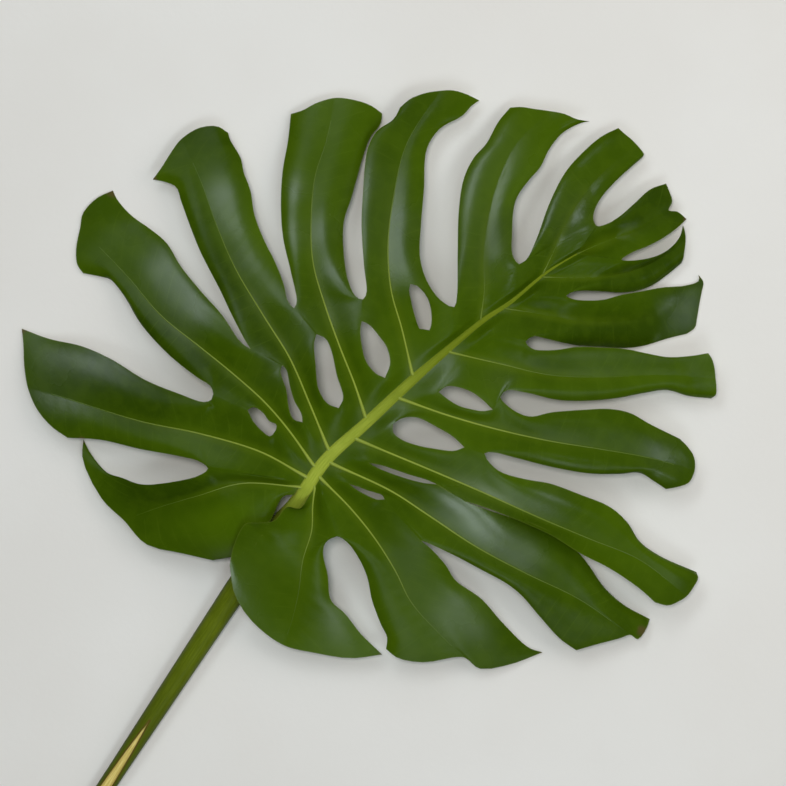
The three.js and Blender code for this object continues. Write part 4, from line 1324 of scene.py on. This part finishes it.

# %% [markdown]
# The stalk's finish: olive green with fine streaks along it, with painted shade on its flanks,
# darker near the cut, paler where it becomes the midrib, and cream inside the groove. Streaks come
# from noise on the angle round the rod, so they run along it however it bends.

# %% Stalk paint
def stalk_paint():
    paint, tree, shader = new_paint("olive_stalk")
    station, turn = attribute(tree, "station"), attribute(tree, "round")
    drawn_out = maths(tree, "MULTIPLY", station, 0.012)
    where = add(tree, "ShaderNodeCombineXYZ", {0: drawn_out, 1: turn}).outputs[0]
    grain = {"Vector": where, "Scale": 9.0, "Detail": 4.0}
    streak = fade(tree, add(tree, "ShaderNodeTexNoise", grain).outputs["Fac"], 0.35, 0.68)
    olive = blend_colour(tree, streak, srgb(84, 98, 10), srgb(96, 110, 16))
    # Painted shade: the flanks of the round stalk, away from its top, are painted darker.
    flank = maths(tree, "MULTIPLY", fade(tree, turn, 0.7, 1.5), 0.5)
    olive = blend_colour(tree, flank, olive, srgb(52, 62, 10))
    low = maths(tree, "MULTIPLY", fade(tree, station, -90.0, -150.0), 0.35)
    olive = blend_colour(tree, low, olive, srgb(54, 64, 12))
    base = blend_colour(tree, streak, srgb(146, 162, 50), srgb(166, 180, 66))
    tip = blend_colour(tree, streak, srgb(100, 116, 16), srgb(116, 130, 24))
    rib = blend_colour(tree, fade(tree, station, 10.0, 120.0), base, tip)
    colour = blend_colour(tree, fade(tree, station, -16.0, 3.0), olive, rib)
    cream = blend_colour(tree, streak, srgb(198, 178, 96), srgb(226, 208, 132))
    colour = blend_colour(tree, fade(tree, attribute(tree, "groove"), 0.04, 0.22), colour, cream)
    lip = fade(tree, attribute(tree, "lip_mm"), 0.6, 0.15)
    colour = blend_colour(tree, maths(tree, "MULTIPLY", lip, 0.8), colour, srgb(92, 70, 26))
    pores = fade(tree, noise(tree, 900, 2), 0.4, 0.6)
    pith = blend_colour(tree, pores, srgb(168, 172, 104), srgb(196, 196, 132))
    colour = blend_colour(tree, fade(tree, attribute(tree, "cut"), 0.02, 0.2), colour, pith)
    rough = maths(tree, "MULTIPLY_ADD", streak, 0.14, 0.4)
    bump = add(tree, "ShaderNodeBump", {"Height": streak, "Strength": 0.15, "Distance": 0.0005})
    connect(tree, shader, Base_Color=colour, Roughness=rough, Normal=bump.outputs[0])
    shader.inputs["Specular IOR Level"].default_value = 0.1
    return paint


stalk.data.materials.append(stalk_paint())
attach(stalk, "root")
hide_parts("petiole_midrib")

# %% [markdown]
# Stage. The floor is one pale square, large enough to fill every view, with faint clouds and a
# fine grain, so that it doesn't look like an empty background.

# %% Floor
FLOOR_HALF, FLOOR_HEIGHT = 3.0, -0.0002


def pale_floor():
    mesh = bpy.data.meshes.new("floor")
    corners = [(-1, -1), (1, -1), (1, 1), (-1, 1)]
    places = [(x * FLOOR_HALF, y * FLOOR_HALF, FLOOR_HEIGHT) for x, y in corners]
    mesh.from_pydata(places, [], [(0, 1, 2, 3)])
    paint, tree, shader = new_paint("pale_floor")
    cloud = fade(tree, noise(tree, 7, 4), 0.3, 0.7)
    colour = blend_colour(tree, cloud, srgb(229, 226, 222), srgb(233, 231, 228))
    grain = {"Height": noise(tree, 260, 4), "Strength": 0.1, "Distance": 0.001}
    bump = add(tree, "ShaderNodeBump", grain)
    connect(tree, shader, Base_Color=colour, Normal=bump.outputs[0])
    shader.inputs["Roughness"].default_value = 0.9
    shader.inputs["Specular IOR Level"].default_value = 0.1
    mesh.materials.append(paint)
    floor = bpy.data.objects.new("floor", mesh)
    bpy.context.scene.collection.objects.link(floor)


pale_floor()

# %% [markdown]
# The camera looks straight down, because the leaf is seen square-on. A long lens from far away
# keeps the lobes' proportions true. The picture's middle is given in the sheet frame, and the
# camera turns with the leaf, so that the sheet's y points up in the picture.

# %% Camera
PICTURE_MIDDLE = [46.5, 51.5, 20]
PICTURE_WIDTH = 393
CAMERA_HEIGHT = 1.9
SENSOR = 36.0

aim = to_frame([PICTURE_MIDDLE])[0]
lens = bpy.data.cameras.new("camera")
lens.sensor_width = SENSOR
lens.lens = SENSOR * CAMERA_HEIGHT / (PICTURE_WIDTH * MM)
lens.clip_end = 20
camera = bpy.data.objects.new("camera", lens)
camera.location = (aim[0], aim[1], aim[2] + CAMERA_HEIGHT)
camera.rotation_euler = (0, 0, LEAF_TURN)
bpy.context.scene.collection.objects.link(camera)
bpy.context.scene.camera = camera
print("lens:", round(lens.lens, 1), "mm")

# %% [markdown]
# Light. A key close to the camera's own line keeps the floor in the slits bright. A broad ceiling
# and a fill from the right soften it. These three don't show in the wax. Five cool windows do, and
# each gives a sheen to the waxy places that face it. One bright sky could light the leaf too, but
# it would lay the same haze over every lobe.

# %% Lights
WINDOW_TINT = (0.85, 0.97, 1.0)
bpy.context.scene.view_settings.view_transform = "Standard"


def soft_light(name, towards, distance, size, power, colour, mirrored):
    """An area light in a direction given as seen in the picture: right, up, and to the viewer."""
    direction = np.array([towards], float) / np.linalg.norm(towards)
    lamp = bpy.data.lights.new(name, "AREA")
    lamp.shape, lamp.size = "DISK", size
    lamp.energy, lamp.color = power, colour
    made = bpy.data.objects.new(name, lamp)
    offset = mathutils.Vector(turned(direction)[0])
    made.location = mathutils.Vector((aim[0], aim[1], 0)) + offset * distance
    made.rotation_euler = offset.to_track_quat("Z", "Y").to_euler()
    made.visible_glossy = mirrored
    bpy.context.scene.collection.objects.link(made)


soft_light("ceiling", (0.1, 0.8, 0.9), 1.3, 1.4, 3.2, (1.0, 0.97, 0.94), False)
soft_light("key", (-0.07, 0.06, 1.0), 2.6, 0.5, 21.4, (1.0, 0.98, 0.96), False)
soft_light("fill", (1.0, 0.2, 0.7), 1.2, 1.0, 3.6, (1.0, 0.95, 0.9), False)
soft_light("left_window", (-0.48, 0.46, 1.0), 1.9, 0.8, 3.6, WINDOW_TINT, True)
soft_light("right_window", (0.46, -0.4, 1.0), 1.9, 0.5, 2.8, WINDOW_TINT, True)
soft_light("low_window", (0.14, -0.72, 1.0), 1.9, 0.7, 4.6, WINDOW_TINT, True)
soft_light("top_window", (-0.3, 0.85, 1.0), 1.9, 0.5, 2.6, WINDOW_TINT, True)
soft_light("high_window", (0.16, -0.02, 1.0), 1.9, 0.3, 1.0, WINDOW_TINT, True)
world = bpy.data.worlds.new("room")
world.use_nodes = True
world.node_tree.nodes["Background"].inputs["Color"].default_value = (1, 0.99, 0.97, 1)
world.node_tree.nodes["Background"].inputs["Strength"].default_value = 0.04
bpy.context.scene.world = world
